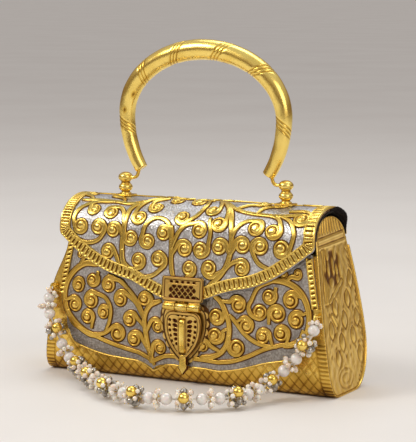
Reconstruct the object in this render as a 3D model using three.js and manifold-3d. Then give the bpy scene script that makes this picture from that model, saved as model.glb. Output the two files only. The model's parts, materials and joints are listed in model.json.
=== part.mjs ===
// A hinged metal evening bag with an arched carrying handle and a beaded wrist strap.
// Millimetres, +Z up, the front faces -Y, the origin is the middle of the base on the table.

import * as THREE from "three";
import { mergeVertices } from "three/addons/utils/BufferGeometryUtils.js";
import Module from "manifold-3d";

const wasm = await Module();
wasm.setup();

// Body
const BASE_HALF_WIDTH = 102.5;
const LEFT_LEAN = 0.11; // how far each end leans in for a millimetre of height
const RIGHT_LEAN = 0.145;
const LEFT_WAIST = 7; // the left end also draws in by this much, just below the flap
const WAIST_HEIGHT = 30; // over this height
const WAIST_TOP_DROP = 10; // that ends this far below the shoulder
const SHOULDER_Z = 94; // where the arch of an end panel starts
const SHOULDER_Y = -2; // the arch sits a little in front of the base's middle
const SHOULDER_HALF_DEPTH = 22.4;
const BELLY_HALF_DEPTH = 30.6;
const FRONT_BELLY_Z = 18;
const BACK_BELLY_Z = 34;
const WALL_BULGE_Z = 55; // height that the two walls bow out towards
const BASE_FRONT_Y = -19; // the flat that the bag stands on runs from here
const BASE_BACK_Y = 5; // to here
const ARCH_RISE = 15.2;
const RIM_DROP = 6; // the wall's rim lies this far below the shoulder
const WALL = 1;
const END_RECESS = 1.2; // the wall's edge stands proud of the end panel
const LINING = 1.6;
const GAP = 0.3; // clearance between pieces that touch

// Silver plate on the front, its fluted side strips and its lower rail
const PLATE = 0.4;
const PLATE_FOOT_Z = 11.5;
const PLATE_MARGIN = 1; // the least that it stays inside the wall's ends
const PLATE_TURN_Z = 33; // its lower corners turn up to here
const STRIP_WIDTH = 4.6;
// A strip's outer edge at its foot and its top, in from the ends of the base, and its foot's height.
const STRIP_SIDES = { left: [11.5, 17.3, 51], right: [9.3, 15.3, 54.5] };
const STRIP_TOP_DROP = 9; // below the shoulder
const STRIP = 1;
const RAIL_FOOT_Z = 17.3;
const RAIL_INSET = 18; // its ends, in from the ends of the base
const RAIL_END_Z = 46;
const RAIL_TURN = 5.3; // width of the curve that turns it up at each side
const RAIL_WIDTH = 2.2;
const RAIL = 1.1;
const CUSP_X = 24; // the two points of the bracket line, from the clasp's middle
const SHELF_RISE = 1.5; // the line past each point, above its foot
// Each half of a bracket line: its point's depth, its outer curve's rise, its height at the side
const RAIL_HALVES = { left: [4, 5, 32], right: [0.6, 13.7, 33] };
const PLATE_HALVES = { left: [4.5, 0.5, 20.5], right: [0.8, 9.3, 22.5] };

// Flap
const FLAP_CLEARANCE = 1; // from the wall's face to the flap's lining
const FLAP_LINING = 1.6;
const FLAP_SHEET = 0.8;
const FLAP_LEFT_OVERHANG = 5.6; // past the end panels, at the shoulder
const FLAP_RIGHT_OVERHANG = 0.5;
const FLAP_LEFT_LEAN = 0.01; // the flap's left edge runs up nearly straight
const FLAP_RIGHT_LEAN = 0.07;
const FLAP_TIP_DROP = 41.5; // the edge's heights, below the shoulder
const FLAP_SHELF_DROP = 29.8;
const FLAP_CORNER_DROP = 1.7;
const FLAP_SHELF_X = 38;
const FLAP_CORNER_ROUND = 5.5; // height of the round turn into each side
// The sweep from shelf to corner: two handles, as shares of its width and its height.
const FLAP_SWEEP = { left: [0.35, 0.06, 0.56, 0.24], right: [0.3, 0.08, 0.56, 0.36] };
const BORDER_WIDTH = 7.5;
const BORDER = 0.8;
const LINING_INSET = 8; // the lining stops short of the flap's lower edge

// Back hinge
const HINGE_DROP = 3; // axis below the shoulder
const HINGE_STANDOFF = 3.2; // axis behind the shoulder
const HINGE_HALF_LENGTH = 75;
const HINGE_KNUCKLES = 7;
const HINGE_RADIUS = 2.2;
const HINGE_PIN_RADIUS = 1;
const HINGE_LEAF = 0.8;
const HINGE_LEAF_HEIGHT = 11;
const RUNNING = 0.35; // clearance round a pin

// Clasp
const CLASP_X = 2; // the hand-fitted clasp sits a little right of the middle
const CLASP_PLATE_HALF_WIDTH = 14.5;
const CLASP_PLATE_HEIGHT = 15.5;
const CLASP_MARGIN = 2; // solid frame round the plate's piercings
const CLASP_COLUMNS = 6;
const CLASP_ROWS = 4;
const CLASP_SHEET = 1;
const KNUCKLE_TUCK = 0.1; // the knuckles' tops reach this far above the flap's tip
const CLASP_KNUCKLE = 8.6; // length of each of the three knuckles
const CLASP_RADIUS = 2.6;
const CLASP_PIN_RADIUS = 1;
const LEAF_HALF_WIDTH = 13;
const LEAF_HEIGHT = 31;
const LEAF_TAB = 5.5;
const LEAF_TAB_HALF_WIDTH = 2.4;
const LEAF_RIM = 2.6;
const LEAF_HEAD = 5; // solid metal above the slot
const PETALS = 5; // piercings on each side of the slot
const PETAL_PITCH = 3.3;
const PETAL_HALF_WIDTH = 1.1;
const PETAL_TILT = 0.25;
const PETAL_TAPER = 0.12; // the lower ones are shorter
const LEAF_SETBACK = 0.4; // the leaf's sheet hangs behind its knuckle's middle
const STAPLE_WIDTH = 3.6;
const STAPLE_LENGTH = 21;
const STAPLE_SHEET = 1.2;
const STAPLE_FOOT = 2.6; // height of each of its feet
const STAPLE_PROUD = 1.2; // the bow's crown above the leaf's face
const SLOT_CLEARANCE = 0.7;
const CATCH = 0.8;
const CATCH_MARGIN = 1.6; // the scalloped catch plate shows round the leaf
const SCALLOPS = 7; // on each side
const SCALLOP_BULGE = 0.3; // of a scallop's width

// Handle and its two posts
const POST_X = 57.3;
const PIVOT_RISE = 12.4; // the handle's pivot above the flap's crest
const POST_BALL = 4; // half the ball's width
const POST_BALL_RISE = 3.2; // half its height
const POST_BULB = 5.6; // how far the bulb below the ball swells
const POST_NECK_RADIUS = 2.2;
const POST_FOOT_RADIUS = 3;
const POST_FOOT = 1;
const POST_COLLAR = 0.8;
const STUD_TAIL = 0.8; // the stud's end below its nut
const POST_BASE_LENGTH = 12;
const POST_BASE_DEPTH = 8;
const POST_BASE = 1.2;
const STUD_RADIUS = 1.5;
const NUT_RADIUS = 3.1;
const NUT = 2.2;
const HANDLE_HALF_WIDTH = 55.8;
const HANDLE_WAIST_RISE = 40.9; // widest point above the pivot
const HANDLE_TOP_RISE = 42; // crown above the widest point
const HANDLE_LOWER_RADIUS = 60;
const HANDLE_END_ANGLE = 0.62; // how far the tube curls in below its widest point
const HANDLE_TOP_RADIUS = 6.5;
const HANDLE_END_RADIUS = 4.15;
const HANDLE_WALL = 1;
const BORE_REACH = 0.05; // the bore is cut past each end by this angle
const WIRE_RADIUS = 1.1;
const WIRE_BEND = 1.6;
const PLUG_LENGTH = 5;

// Strap, with its lugs on the front wall, outside the fluted strips
const LEFT_LUG_Z = 56;
const RIGHT_LUG_Z = 51;
const LUG_INSET = 2.4; // in from the wall's end
const LUG_PAD_RADIUS = 2.2;
const LUG_PAD = 0.8;
const LUG_LOOP_HALF_WIDTH = 1.7;
const LUG_LOOP_DEPTH = 3.6;
const LUG_WIRE = 0.6;
const RING_RADIUS = 2.2;
const RING_WIRE = 0.6;
const THREAD_RADIUS = 0.6;
const PEARL_RADIUS = 3.7;
const PEARL_BORE = 1.4;
const PEARL_UNIT = 31.7; // length of one repeat: two pearls, then room for a cluster
const PEARL_PITCH = 10.6; // between the two pearls of a pair
const PEARL_START = 4.4; // from each end of the thread to its nearest pearl
const STRAP_ROUTE = [
  [-93.9, -33.4, 51.6],
  [-95, -35.6, 48.6],
  [-95, -38, 43.6],
  [-90.5, -39.6, 35],
  [-84, -40, 22],
  [-77, -41.5, 12.5],
  [-66, -47, 8],
  [-56, -56.5, 7.6],
  [-48, -65, 7.6],
  [-32, -80, 7.6],
  [-14, -93, 7.6],
  [4, -102, 7.6],
  [16, -104, 7.6],
  [25, -103, 7.6],
  [37, -98.5, 7.6],
  [51, -90, 7.6],
  [60.5, -80, 7.6],
  [65, -67, 7.8],
  [68, -53, 9.5],
  [73.5, -43.5, 15.7],
  [82, -39.8, 24.5],
  [88.5, -39.6, 33.4],
  [92.1, -38.6, 39.2],
  [92.8, -36.6, 43],
  [92.7, -33.8, 46.6],
];

// Facets
const ROUND = 12; // sides of a small round piece
const HANDLE_STEPS = 28;
const WALL_STEPS = 7;
const FOOT_STEPS = 2;
const CORNER_STEPS = 6;
const ARCH_STEPS = 16;
const EDGE_STEPS = 8;
const STRAP_STEPS = 70;
const CUT_DEPTH = 90;

// Small helpers

const v2 = (a, b) => new THREE.Vector2(a, b);
const pick = (side, left, right) => (side < 0 ? left : right);

// How far the bag's ends lie from its middle at a height.
function reach(z, side) {
  const waistTopZ = SHOULDER_Z - WAIST_TOP_DROP;
  const waist = LEFT_WAIST * THREE.MathUtils.smoothstep(z, waistTopZ - WAIST_HEIGHT, waistTopZ);
  return BASE_HALF_WIDTH - pick(side, LEFT_LEAN, RIGHT_LEAN) * z - pick(side, waist, 0);
}

function toSolid(geometry) {
  const bare = geometry.clone();
  bare.deleteAttribute("normal");
  bare.deleteAttribute("uv");
  const merged = mergeVertices(bare, 1e-4);
  const mesh = new wasm.Mesh({
    numProp: 3,
    vertProperties: merged.attributes.position.array,
    triVerts: new Uint32Array(merged.index.array),
  });
  return new wasm.Manifold(mesh);
}

function toGeometry(solid) {
  const mesh = solid.getMesh();
  const geometry = new THREE.BufferGeometry();
  geometry.setAttribute("position", new THREE.BufferAttribute(mesh.vertProperties, 3));
  geometry.setIndex(new THREE.BufferAttribute(mesh.triVerts, 1));
  geometry.computeVertexNormals();
  return geometry;
}

function extruded(shape, depth) {
  return new THREE.ExtrudeGeometry(shape, { depth, bevelEnabled: false, curveSegments: EDGE_STEPS });
}

function mapped(geometry, move) {
  const position = geometry.attributes.position;
  const v = new THREE.Vector3();
  for (let i = 0; i < position.count; i++) {
    v.fromBufferAttribute(position, i);
    move(v);
    position.setXYZ(i, v.x, v.y, v.z);
  }
  return geometry;
}

// A section in Y and Z, drawn out to both ends of the bag.
function acrossBag(shape, reachAt) {
  return mapped(extruded(shape, 1), (v) => {
    const side = v.z > 0.5 ? 1 : -1;
    v.set(side * reachAt(v.y, side), v.x, v.y);
  });
}

// An outline in X and Z, drawn out from the middle plane towards the front.
function towardsFront(shape, depth = CUT_DEPTH) {
  return mapped(extruded(shape, depth), (v) => v.set(v.x, -v.z, v.y));
}

// A line of points moved sideways, to the right of its direction.
function offset(points, distance) {
  return points.map((point, i) => {
    const before = points[Math.max(i - 1, 0)];
    const after = points[Math.min(i + 1, points.length - 1)];
    const into = point.clone().sub(i ? before : point).normalize();
    const out = after.clone().sub(i < points.length - 1 ? point : after).normalize();
    const along = into.add(out).normalize();
    return v2(point.x + along.y * distance, point.y - along.x * distance);
  });
}

// A closed band between two lines that run beside the given one.
function band(points, inner, outer) {
  return new THREE.Shape([...offset(points, outer), ...offset(points, inner).reverse()]);
}

function ringOf(innerRadius, outerRadius, length, sides) {
  const h = length / 2;
  const profile = [
    v2(innerRadius, -h),
    v2(outerRadius, -h),
    v2(outerRadius, h),
    v2(innerRadius, h),
    v2(innerRadius, -h),
  ];
  return new THREE.LatheGeometry(profile, sides);
}

// Turns a piece made along Y to lie along X, with its middle at the given point.
function alongX(geometry, x, y, z) {
  return geometry.rotateZ(-Math.PI / 2).translate(x, y, z);
}

function roundSection(radius, sides, x = 0, y = 0) {
  const points = [];
  for (let i = 0; i < sides; i++) {
    const angle = (2 * Math.PI * i) / sides;
    points.push(v2(x + radius * Math.cos(angle), y + radius * Math.sin(angle)));
  }
  return new THREE.Shape(points);
}

function wireAlong(points, radius, steps, sides) {
  const curve = new THREE.CatmullRomCurve3(points, false, "centripetal");
  return new THREE.ExtrudeGeometry(roundSection(radius, sides), { steps, extrudePath: curve });
}

// Materials

const GOLD = { color: 0xd2a02f, roughness: 0.28, metalness: 1 };
const TAN_GOLD = { color: 0xb98a3a, roughness: 0.42, metalness: 1 };
const SILVER = { color: 0xa9a6a6, roughness: 0.4, metalness: 1 };
const STEEL = { color: 0x9a8a62, roughness: 0.35, metalness: 1 };
const VELVET = { color: 0x0c0a0b, roughness: 1, metalness: 0 };
const PEARL = { color: 0xe9e2da, roughness: 0.2, metalness: 0 };
const THREAD = { color: 0xd9cfc2, roughness: 0.9, metalness: 0 };

const bag = new THREE.Group();

function addPiece(group, name, geometry, look) {
  const mesh = new THREE.Mesh(geometry, new THREE.MeshStandardMaterial(look));
  mesh.name = name;
  group.add(mesh);
}

function addGroup(parent) {
  const group = new THREE.Group();
  parent.add(group);
  return group;
}

// The bag's section: two bowed walls on rounded lower corners, with an arch above

const SHOULDER_FRONT_Y = SHOULDER_Y - SHOULDER_HALF_DEPTH;
const SHOULDER_BACK_Y = SHOULDER_Y + SHOULDER_HALF_DEPTH;
const frontWall = new THREE.QuadraticBezierCurve(
  v2(-BELLY_HALF_DEPTH, FRONT_BELLY_Z),
  v2(-BELLY_HALF_DEPTH, WALL_BULGE_Z),
  v2(SHOULDER_FRONT_Y, SHOULDER_Z),
);
const backWall = new THREE.QuadraticBezierCurve(
  v2(BELLY_HALF_DEPTH, BACK_BELLY_Z),
  v2(BELLY_HALF_DEPTH, WALL_BULGE_Z),
  v2(SHOULDER_BACK_Y, SHOULDER_Z),
);
const frontCorner = new THREE.QuadraticBezierCurve(
  v2(-BELLY_HALF_DEPTH, FRONT_BELLY_Z),
  v2(-BELLY_HALF_DEPTH, 0),
  v2(BASE_FRONT_Y, 0),
);
const backCorner = new THREE.CubicBezierCurve(
  v2(BASE_BACK_Y, 0),
  v2((BASE_BACK_Y + BELLY_HALF_DEPTH) / 2, 0),
  v2(BELLY_HALF_DEPTH, BACK_BELLY_Z * 0.4),
  v2(BELLY_HALF_DEPTH, BACK_BELLY_Z),
);
const arch = new THREE.EllipseCurve(
  SHOULDER_Y,
  SHOULDER_Z,
  SHOULDER_HALF_DEPTH,
  ARCH_RISE,
  0,
  Math.PI,
);

function atHeight(wall, z) {
  let low = 0;
  let high = 1;
  for (let i = 0; i < 40; i++) {
    const middle = (low + high) / 2;
    if (wall.getPoint(middle).y < z) low = middle;
    else high = middle;
  }
  return wall.getPoint(low);
}

function wallPoints(wall, fromZ, toZ, steps) {
  const points = [];
  for (let i = 0; i <= steps; i++) {
    points.push(atHeight(wall, fromZ + ((toZ - fromZ) * i) / steps));
  }
  return points;
}

const frontY = (z) => atHeight(frontWall, z).x;

const RIM_Z = SHOULDER_Z - RIM_DROP;
const lowerSection = [
  ...wallPoints(frontWall, RIM_Z, BACK_BELLY_Z, WALL_STEPS).slice(0, -1),
  ...wallPoints(frontWall, BACK_BELLY_Z, FRONT_BELLY_Z, FOOT_STEPS).slice(0, -1),
  ...frontCorner.getPoints(CORNER_STEPS),
  ...backCorner.getPoints(CORNER_STEPS),
  ...wallPoints(backWall, BACK_BELLY_Z, RIM_Z, WALL_STEPS).slice(1),
];
const FLAP_TIP_Z = SHOULDER_Z - FLAP_TIP_DROP;
const flapSection = [
  ...arch.getPoints(ARCH_STEPS),
  ...wallPoints(frontWall, SHOULDER_Z, FLAP_TIP_Z - 1, WALL_STEPS).slice(1),
];

// Body: one bent wall, two end panels let into its ends, and a lining

const ABOVE_CROWN_Z = SHOULDER_Z + ARCH_RISE + 1;
const wallHeights = wallPoints(backWall, BACK_BELLY_Z, RIM_Z, WALL_STEPS).map((point) => point.y);
const endHeights = [-1, ...wallHeights, ABOVE_CROWN_Z];

// The line of an end in X and Z, from foot to crown, a given depth inside it.
function endLine(side, depth) {
  return endHeights.map((z) => v2(side * (reach(z, side) - depth), z));
}

// A block between two such lines, as deep as the bag and more.
function between(line, other) {
  const shape = new THREE.Shape([...line, ...other.reverse()]);
  return toSolid(towardsFront(shape).translate(0, CUT_DEPTH / 2, 0));
}

// A section in Y and Z, drawn out along the bag.
function prism(shape) {
  const length = 3 * BASE_HALF_WIDTH;
  return toSolid(mapped(extruded(shape, length), (v) => v.set(v.z - length / 2, v.x, v.y)));
}

// A section drawn out to both ends of the bag, or to a given depth inside them.
function alongBag(shape, depth) {
  return prism(shape).intersect(between(endLine(1, depth), endLine(-1, depth)));
}

// A plate bent to the form of an end, its outer face a given depth inside it.
function endPlate(shape, side, depth, thickness) {
  return prism(shape).intersect(between(endLine(side, depth), endLine(side, depth + thickness)));
}

const body = addGroup(bag);
addPiece(body, "body_wrap", toGeometry(alongBag(band(lowerSection, -WALL, 0), 0)), GOLD);

// The end panel's outline lies inside the wall up to the rim, then follows the arch.
function endOutline(inset) {
  const loop = [...lowerSection, ...arch.getPoints(ARCH_STEPS)];
  const wrapped = [loop[loop.length - 1], ...loop, loop[0]];
  return offset(wrapped, -inset).slice(1, -1);
}

const SIDES = [
  ["left", -1],
  ["right", 1],
];
const endShape = new THREE.Shape(endOutline(WALL + GAP));
for (const [word, side] of SIDES) {
  addPiece(body, "end_panel_" + word, toGeometry(endPlate(endShape, side, END_RECESS, WALL)), GOLD);
}

const LINING_OUTER = WALL + GAP;
const LINING_END = END_RECESS + WALL + GAP;
const liningBand = band(lowerSection, -LINING_OUTER - LINING, -LINING_OUTER);
const liningShell = alongBag(liningBand, LINING_END + LINING / 2);
const liningEndShape = new THREE.Shape(offset(lowerSection, -LINING_OUTER - LINING / 2));
const bodyLining = SIDES.reduce(
  (solid, [, side]) => solid.add(endPlate(liningEndShape, side, LINING_END, LINING)),
  liningShell,
);
addPiece(body, "body_lining", toGeometry(bodyLining), VELVET);

// Front: a silver plate with a bracket-shaped foot, two side strips and a raised rail

const STRIP_TOP_Z = SHOULDER_Z - STRIP_TOP_DROP;
const RAIL_END_X = BASE_HALF_WIDTH - RAIL_INSET;

// The outer edge of a strip, which leans in as it rises.
function stripEdge(word, z) {
  const [footInset, topInset, footZ] = STRIP_SIDES[word];
  return BASE_HALF_WIDTH - THREE.MathUtils.mapLinear(z, footZ, STRIP_TOP_Z, footInset, topInset);
}

// Half of a bracket line, from the clasp out to the foot of the curve that turns it up.
function bracketHalf(word, side, footZ, halves) {
  const [cusp, rise, sideZ] = halves[word];
  const shelfX = CLASP_X + side * CUSP_X * 1.6;
  const shelfZ = footZ + SHELF_RISE;
  const endX = side * (RAIL_END_X - RAIL_TURN);
  const path = new THREE.Path();
  path.moveTo(CLASP_X, footZ);
  path.lineTo(CLASP_X + side * CUSP_X * 0.55, footZ);
  path.quadraticCurveTo(CLASP_X + side * CUSP_X * 0.9, footZ, CLASP_X + side * CUSP_X, footZ - cusp);
  path.quadraticCurveTo(CLASP_X + side * CUSP_X * 1.15, footZ, shelfX, shelfZ);
  path.quadraticCurveTo((shelfX + endX) / 2, footZ + rise, endX, sideZ);
  return path;
}

function frontSheet(inner, outer, fromZ, toZ, depth = 0) {
  const points = [
    ...wallPoints(frontWall, fromZ, FRONT_BELLY_Z, WALL_STEPS).slice(0, -1),
    ...frontCorner.getPoints(CORNER_STEPS).filter((p) => p.y > toZ),
  ];
  return alongBag(band(points, inner, outer), depth);
}

const PLATE_OUTER = GAP + PLATE;
const PLATE_TOP = RIM_Z - 1;
const plateHalves = SIDES.map(([word, side]) => {
  const path = bracketHalf(word, side, PLATE_FOOT_Z, PLATE_HALVES);
  const turnZ = PLATE_HALVES[word][2] + 4;
  path.quadraticCurveTo(side * (RAIL_END_X - 1), turnZ, side * RAIL_END_X, PLATE_TURN_Z);
  const footZ = STRIP_SIDES[word][2];
  path.lineTo(side * (stripEdge(word, footZ) - STRIP_WIDTH), footZ);
  path.lineTo(side * stripEdge(word, footZ), footZ);
  path.lineTo(side * stripEdge(word, SHOULDER_Z), SHOULDER_Z);
  return path.getPoints(EDGE_STEPS);
});
const plateOutline = new THREE.Shape([...plateHalves[0].reverse(), ...plateHalves[1].slice(1)]);
const plateCover = frontSheet(GAP, PLATE_OUTER, PLATE_TOP, 1, PLATE_MARGIN);
const frontPlate = plateCover.intersect(toSolid(towardsFront(plateOutline)));
addPiece(body, "front_plate", toGeometry(frontPlate), SILVER);

const ON_PLATE = PLATE_OUTER + GAP;
for (const [word, side] of SIDES) {
  const footZ = STRIP_SIDES[word][2];
  const corner = (z, inset) => v2(side * (stripEdge(word, z) - inset), z);
  const outline = new THREE.Shape([
    corner(footZ, STRIP_WIDTH),
    corner(footZ, 0),
    corner(STRIP_TOP_Z, 0),
    corner(STRIP_TOP_Z, STRIP_WIDTH),
  ]);
  const cover = frontSheet(ON_PLATE, ON_PLATE + STRIP, PLATE_TOP, FRONT_BELLY_Z - 2, PLATE_MARGIN);
  const strip = cover.intersect(toSolid(towardsFront(outline)));
  addPiece(body, "front_strip_" + word, toGeometry(strip), GOLD);
}

const CLASP_Z = FLAP_TIP_Z + KNUCKLE_TUCK - CLASP_RADIUS;
// A spade: round shoulders that run down to a point.
const LEAF_TOP_Z = CLASP_Z - CLASP_RADIUS - RUNNING;
function spade(grow) {
  const w = LEAF_HALF_WIDTH + grow;
  const top = LEAF_TOP_Z + grow;
  const foot = LEAF_TOP_Z - LEAF_HEIGHT - grow;
  const height = top - foot;
  const shape = new THREE.Shape();
  shape.moveTo(CLASP_X + w * 0.55, top);
  shape.lineTo(CLASP_X - w * 0.55, top);
  shape.quadraticCurveTo(CLASP_X - w, top, CLASP_X - w, top - height * 0.24);
  const waistZ = top - height * 0.62;
  const lowZ = top - height * 0.85;
  shape.bezierCurveTo(CLASP_X - w, waistZ, CLASP_X - w * 0.5, lowZ, CLASP_X, foot);
  shape.bezierCurveTo(CLASP_X + w * 0.5, lowZ, CLASP_X + w, waistZ, CLASP_X + w, top - height * 0.24);
  shape.quadraticCurveTo(CLASP_X + w, top, CLASP_X + w * 0.55, top);
  return shape;
}

// The rail stops on each side of the clasp's catch plate.
const railCover = frontSheet(ON_PLATE, ON_PLATE + RAIL, PLATE_TOP, 1, PLATE_MARGIN);
for (const [word, side] of SIDES) {
  const path = bracketHalf(word, side, RAIL_FOOT_Z, RAIL_HALVES);
  const turnZ = RAIL_HALVES[word][2] + 4;
  path.quadraticCurveTo(side * (RAIL_END_X - 1), turnZ, side * RAIL_END_X, RAIL_END_Z);
  const outline = band(path.getPoints(EDGE_STEPS), -RAIL_WIDTH / 2, RAIL_WIDTH / 2);
  const rail = railCover
    .intersect(toSolid(towardsFront(outline)))
    .subtract(toSolid(towardsFront(spade(CATCH_MARGIN + RAIL_WIDTH))));
  addPiece(body, "front_rail_" + word, toGeometry(rail), GOLD);
}

// Flap: a bent sheet with an ogee lower edge, a raised border and a thick lining

const flap = addGroup(bag);
const LINING_IN = FLAP_CLEARANCE;
const FLAP_IN = LINING_IN + FLAP_LINING + GAP;
const FLAP_OUT = FLAP_IN + FLAP_SHEET;
const BORDER_IN = FLAP_OUT + GAP;
const BORDER_OUT = BORDER_IN + BORDER;
const CREST_Z = SHOULDER_Z + ARCH_RISE + FLAP_OUT;
const PIVOT_Z = CREST_Z + PIVOT_RISE;

function flapReach(z, side) {
  const shoulder = reach(SHOULDER_Z, side) + pick(side, FLAP_LEFT_OVERHANG, FLAP_RIGHT_OVERHANG);
  return shoulder - pick(side, FLAP_LEFT_LEAN, FLAP_RIGHT_LEAN) * (z - SHOULDER_Z);
}

function ogeeHalf(side) {
  const [nearX, nearZ, farX, farZ] = pick(side, FLAP_SWEEP.left, FLAP_SWEEP.right);
  const cornerZ = SHOULDER_Z - FLAP_CORNER_DROP;
  const cornerX = side * (flapReach(cornerZ, side) + 2);
  const shelfX = CLASP_X + side * FLAP_SHELF_X;
  const shelfZ = SHOULDER_Z - FLAP_SHELF_DROP;
  const run = cornerX - shelfX;
  const rise = cornerZ - shelfZ;
  const drop = shelfZ - FLAP_TIP_Z;
  const path = new THREE.Path();
  path.moveTo(CLASP_X, FLAP_TIP_Z);
  path.bezierCurveTo(
    CLASP_X + side * FLAP_SHELF_X * 0.26,
    FLAP_TIP_Z + drop * 0.1,
    CLASP_X + side * FLAP_SHELF_X * 0.5,
    shelfZ - drop * 0.12,
    shelfX,
    shelfZ,
  );
  path.bezierCurveTo(
    shelfX + run * nearX,
    shelfZ + rise * nearZ,
    shelfX + run * farX,
    shelfZ + rise * farZ,
    cornerX,
    cornerZ,
  );
  return path.getPoints(EDGE_STEPS);
}

// The last stretch of the edge turns up into the flap's side.
function roundCorner(points, side) {
  const before = points[points.length - 2];
  const outside = points[points.length - 1];
  const share = (side * flapReach(outside.y, side) - before.x) / (outside.x - before.x);
  const corner = before.clone().lerp(outside, share);
  const sideZ = corner.y + FLAP_CORNER_ROUND;
  const onSide = v2(side * flapReach(sideZ, side), sideZ);
  const turn = new THREE.QuadraticBezierCurve(before.clone().lerp(corner, 0.4), corner, onSide);
  return [...points.slice(0, -1), ...turn.getPoints(CORNER_STEPS)];
}

const sharpEdge = [...ogeeHalf(-1).reverse(), ...ogeeHalf(1).slice(1)];
const roundEdge = [...roundCorner(ogeeHalf(-1), -1).reverse(), ...roundCorner(ogeeHalf(1), 1).slice(1)];

// Everything in front of the middle plane that lies below the edge, moved up by an inset.
function belowOgee(inset) {
  const edge = inset > 0 ? offset(sharpEdge, -inset) : roundEdge;
  const far = BASE_HALF_WIDTH * 1.5;
  const first = edge[0];
  const last = edge[edge.length - 1];
  const outline = [v2(-far, first.y), ...edge, v2(far, last.y), v2(far, 0), v2(-far, 0)];
  return toSolid(towardsFront(new THREE.Shape(outline)));
}

function flapSheet(inner, outer, reachAt, section = flapSection) {
  return toSolid(acrossBag(band(section, inner, outer), reachAt));
}

const STUD_HOLE = STUD_RADIUS + RUNNING;
function verticalHoles(radius) {
  const height = ARCH_RISE;
  const holes = SIDES.map(([, side]) => {
    const hole = new THREE.CylinderGeometry(radius, radius, height, ROUND).rotateX(Math.PI / 2);
    return toSolid(hole.translate(side * POST_X, SHOULDER_Y, CREST_Z));
  });
  return holes[0].add(holes[1]);
}

const flapShell = flapSheet(FLAP_IN, FLAP_OUT, flapReach)
  .subtract(belowOgee(0))
  .subtract(verticalHoles(STUD_HOLE));
addPiece(flap, "flap_shell", toGeometry(flapShell), SILVER);

// The field inside the border runs out past the flap's back edge.
const fieldSection = [atHeight(backWall, SHOULDER_Z - BORDER_WIDTH), ...flapSection];
const fieldReach = (z, side) => flapReach(z, side) - BORDER_WIDTH;
const borderField = flapSheet(FLAP_OUT, BORDER_OUT + 1, fieldReach, fieldSection);
const flapBorder = flapSheet(BORDER_IN, BORDER_OUT, flapReach)
  .subtract(belowOgee(0))
  .subtract(borderField.subtract(belowOgee(BORDER_WIDTH)));
addPiece(flap, "flap_border", toGeometry(flapBorder), GOLD);

const flapLining = flapSheet(LINING_IN, LINING_IN + FLAP_LINING, flapReach)
  .subtract(belowOgee(LINING_INSET))
  .subtract(verticalHoles(NUT_RADIUS + 2 * RUNNING));
addPiece(flap, "flap_lining", toGeometry(flapLining), VELVET);

// Back hinge: two leaves with their knuckles taking turns along one pin

const HINGE_Y = SHOULDER_BACK_Y + HINGE_STANDOFF;
const HINGE_Z = SHOULDER_Z - HINGE_DROP;
const knucklePitch = (2 * HINGE_HALF_LENGTH) / HINGE_KNUCKLES;

function hingeRod(radius, length, x) {
  const rod = new THREE.CylinderGeometry(radius, radius, length, ROUND);
  return toSolid(alongX(rod, x, HINGE_Y, HINGE_Z));
}

// A bent leaf that keeps its own knuckles and is notched round the other leaf's.
function hingeLeaf(points, inner, first) {
  const notchHeight = 2 * (HINGE_RADIUS + GAP);
  let leaf = toSolid(acrossBag(band(points, inner, inner + HINGE_LEAF), () => HINGE_HALF_LENGTH));
  for (let i = 0; i < HINGE_KNUCKLES; i++) {
    const x = -HINGE_HALF_LENGTH + knucklePitch * (i + 0.5);
    if (i % 2 === first) {
      leaf = leaf.add(hingeRod(HINGE_RADIUS, knucklePitch - GAP, x));
    } else {
      const notch = new THREE.BoxGeometry(knucklePitch + GAP, 4 * HINGE_RADIUS, notchHeight);
      leaf = leaf.subtract(toSolid(notch.translate(x, HINGE_Y, HINGE_Z)));
    }
  }
  return toGeometry(leaf.subtract(hingeRod(HINGE_PIN_RADIUS + RUNNING, 3 * HINGE_HALF_LENGTH, 0)));
}

const bodyLeafPoints = wallPoints(backWall, HINGE_Z - HINGE_RADIUS - HINGE_LEAF_HEIGHT, HINGE_Z, 6);
addPiece(body, "hinge_body_leaf", hingeLeaf(bodyLeafPoints, GAP, 0), GOLD);

const flapLeafPoints = [atHeight(backWall, HINGE_Z), ...arch.getPoints(ARCH_STEPS).slice(0, 4)];
addPiece(flap, "hinge_flap_leaf", hingeLeaf(flapLeafPoints, BORDER_IN, 1), GOLD);

const hingePin = hingeRod(HINGE_PIN_RADIUS, 2 * HINGE_HALF_LENGTH + 1, 0);
addPiece(body, "hinge_pin", toGeometry(hingePin), STEEL);

// Clasp: a pierced plate on the flap's tip, a pierced leaf that swings on it, and a bowed
// staple on the body that the leaf's slot drops over

const CLASP_IN = BORDER_OUT + GAP;
const CLASP_Y = frontY(CLASP_Z) - CLASP_IN - CLASP_SHEET / 2;

function lozenge(x, z, halfX, halfZ) {
  const hole = new THREE.Path();
  hole.setFromPoints([v2(x - halfX, z), v2(x, z - halfZ), v2(x + halfX, z), v2(x, z + halfZ)]);
  return hole;
}

function claspKnuckle(index) {
  const x = CLASP_X + index * CLASP_KNUCKLE;
  const ring = ringOf(CLASP_PIN_RADIUS + RUNNING, CLASP_RADIUS, CLASP_KNUCKLE - GAP, ROUND);
  return toSolid(alongX(ring, x, CLASP_Y, CLASP_Z));
}

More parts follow.
